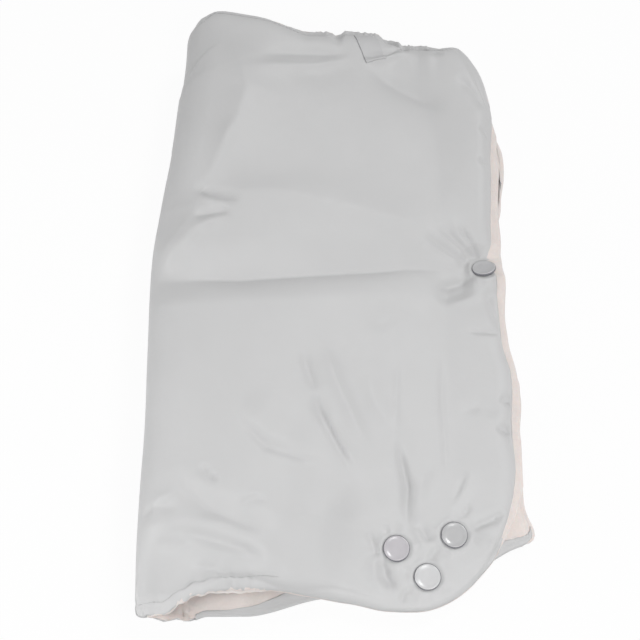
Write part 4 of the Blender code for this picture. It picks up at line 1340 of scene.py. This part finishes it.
def turned_cap(name):
    """A cap turned from its profile of radius and height, in millimetres, in the origin."""
    bpy.ops.object.select_all(action="DESELECT")
    radius, height = CAP_PROFILE[0]
    bpy.ops.mesh.primitive_circle_add(
        vertices=72, radius=radius * MM, fill_type="NGON", location=(0, 0, height * MM),
    )
    cap = bpy.context.object
    cap.name = name
    bpy.ops.object.transform_apply(location=True, rotation=True, scale=True)
    bpy.ops.object.mode_set(mode="EDIT")
    bpy.ops.mesh.select_mode(type="EDGE")
    bpy.ops.mesh.select_all(action="SELECT")
    for (old_radius, old_height), (new_radius, new_height) in zip(CAP_PROFILE, CAP_PROFILE[1:]):
        grow, step = new_radius / old_radius, (0, 0, (new_height - old_height) * MM)
        bpy.ops.mesh.extrude_edges_move(TRANSFORM_OT_translate={"value": step})
        bpy.ops.transform.resize(value=(grow, grow, 1), center_override=(0, 0, 0))
    bpy.ops.mesh.edge_face_add()
    bpy.ops.mesh.select_mode(type="VERT")
    bpy.ops.mesh.select_all(action="SELECT")
    bpy.ops.mesh.normals_make_consistent(inside=False)
    bpy.ops.object.mode_set(mode="OBJECT")
    return cap


def snap_cap(place, finish):
    cap = turned_cap(f"cap_{place}")
    dress(cap, finish)
    cap.data.materials.append(rim_shade_finish)
    # The outer wall of the cap gets the dark finish: painted shade of the gap under the cap, with
    # the dark edge of its rim
    for face in cap.data.polygons:
        reach = math.hypot(face.center.x, face.center.y)
        face.material_index = int(reach > CAP_RIM_SHADE_FROM)
    x, y = SNAPS[place]
    up = Vector((0, 0, 1))
    if place == "middle":
        up = Vector((math.tan(MIDDLE_SIDE_LEAN), math.tan(MIDDLE_LEAN), 1)).normalized()
    turn = up.to_track_quat("Z", "Y")
    for vert in cap.data.vertices:
        vert.co = turn @ vert.co + Vector((x, y, CAP_Z))
    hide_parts(f"snap_cap_{place}")
    return cap


caps = [snap_cap(place, finish) for place, finish in cap_finishes.items()]


# Which body each piece moves with

for obj in (front_cloth, front_rim, near_elastic, far_elastic, near_stitches, far_stitches,
            side_stitches):
    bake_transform(obj)
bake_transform(front_pad)
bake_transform(front_fleece)
for obj in (back_cloth, back_fleece, back_pad, back_rim, near_facing):
    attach(obj, "back_panel")
for obj in caps:
    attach(obj, "front_panel")
for obj in (tab_tape, tab_stitches):
    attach(obj, "tab")


# Finishes of the parts that stay as they are
for name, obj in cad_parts.items():
    if name.startswith(("snap_socket", "snap_stud", "snap_post", "snap_spring")):
        obj.data.materials.clear()
        obj.data.materials.append(steel_finish if "spring" in name else snap_finish)


# Floor, light and camera

FLOOR_SIZE = 8
FLOOR_GLOW_SHARE = 0.95
WORLD_STRENGTH = 0.35

# Name, place, size and energy of each lamp. All shine at the middle of the muff
LAMPS = (
    ("key", (1.5, 1.5, 2.4), 0.8, 34),
    ("left", (-0.7, -0.35, 0.3), 0.4, 2.3),
    ("near", (0.3, -0.56, 0.76), 0.4, 3.4),
)


def studio():
    bpy.ops.object.select_all(action="DESELECT")
    bpy.ops.mesh.primitive_plane_add(size=FLOOR_SIZE, location=(0, 0, 0))
    floor = bpy.context.object
    floor.name = "floor"
    pale = Finish("pale floor", (0.8, 0.8, 0.8), 0.9)
    nodes, links = pale.nodes, pale.links
    path = nodes.new("ShaderNodeLightPath")
    seen = pale.math("MAXIMUM", path.outputs["Is Camera Ray"], path.outputs["Is Glossy Ray"])
    seen = pale.math("MAXIMUM", seen, path.outputs["Is Transmission Ray"])
    glow = pale.node("ShaderNodeEmission", Strength=1.0)
    blend = nodes.new("ShaderNodeMixShader")
    links.new(pale.math("MULTIPLY", seen, FLOOR_GLOW_SHARE), blend.inputs["Fac"])
    links.new(pale.shader.outputs["BSDF"], blend.inputs[1])
    links.new(glow.outputs["Emission"], blend.inputs[2])
    links.new(blend.outputs["Shader"], nodes["Material Output"].inputs["Surface"])
    floor.data.materials.append(pale.surface)

    world = bpy.data.worlds.new("studio")
    bpy.context.scene.world = world
    world.use_nodes = True
    background = world.node_tree.nodes["Background"]
    background.inputs["Color"].default_value = (1, 1, 1, 1)
    background.inputs["Strength"].default_value = WORLD_STRENGTH

    for name, place, size, energy in LAMPS:
        bpy.ops.object.light_add(type="AREA", location=place)
        lamp = bpy.context.object
        lamp.name = name
        lamp.data.size = size
        lamp.data.energy = energy
        lamp.rotation_euler = (-Vector(place)).to_track_quat("-Z", "Y").to_euler()

    bpy.ops.object.camera_add(location=CAMERA_PLACE, rotation=(math.radians(CAMERA_TILT), 0, 0))
    camera = bpy.context.object
    camera.data.lens = CAMERA_LENS
    camera.data.sensor_width = 36
    bpy.context.scene.camera = camera
    bpy.context.scene.view_settings.view_transform = "Standard"


studio()
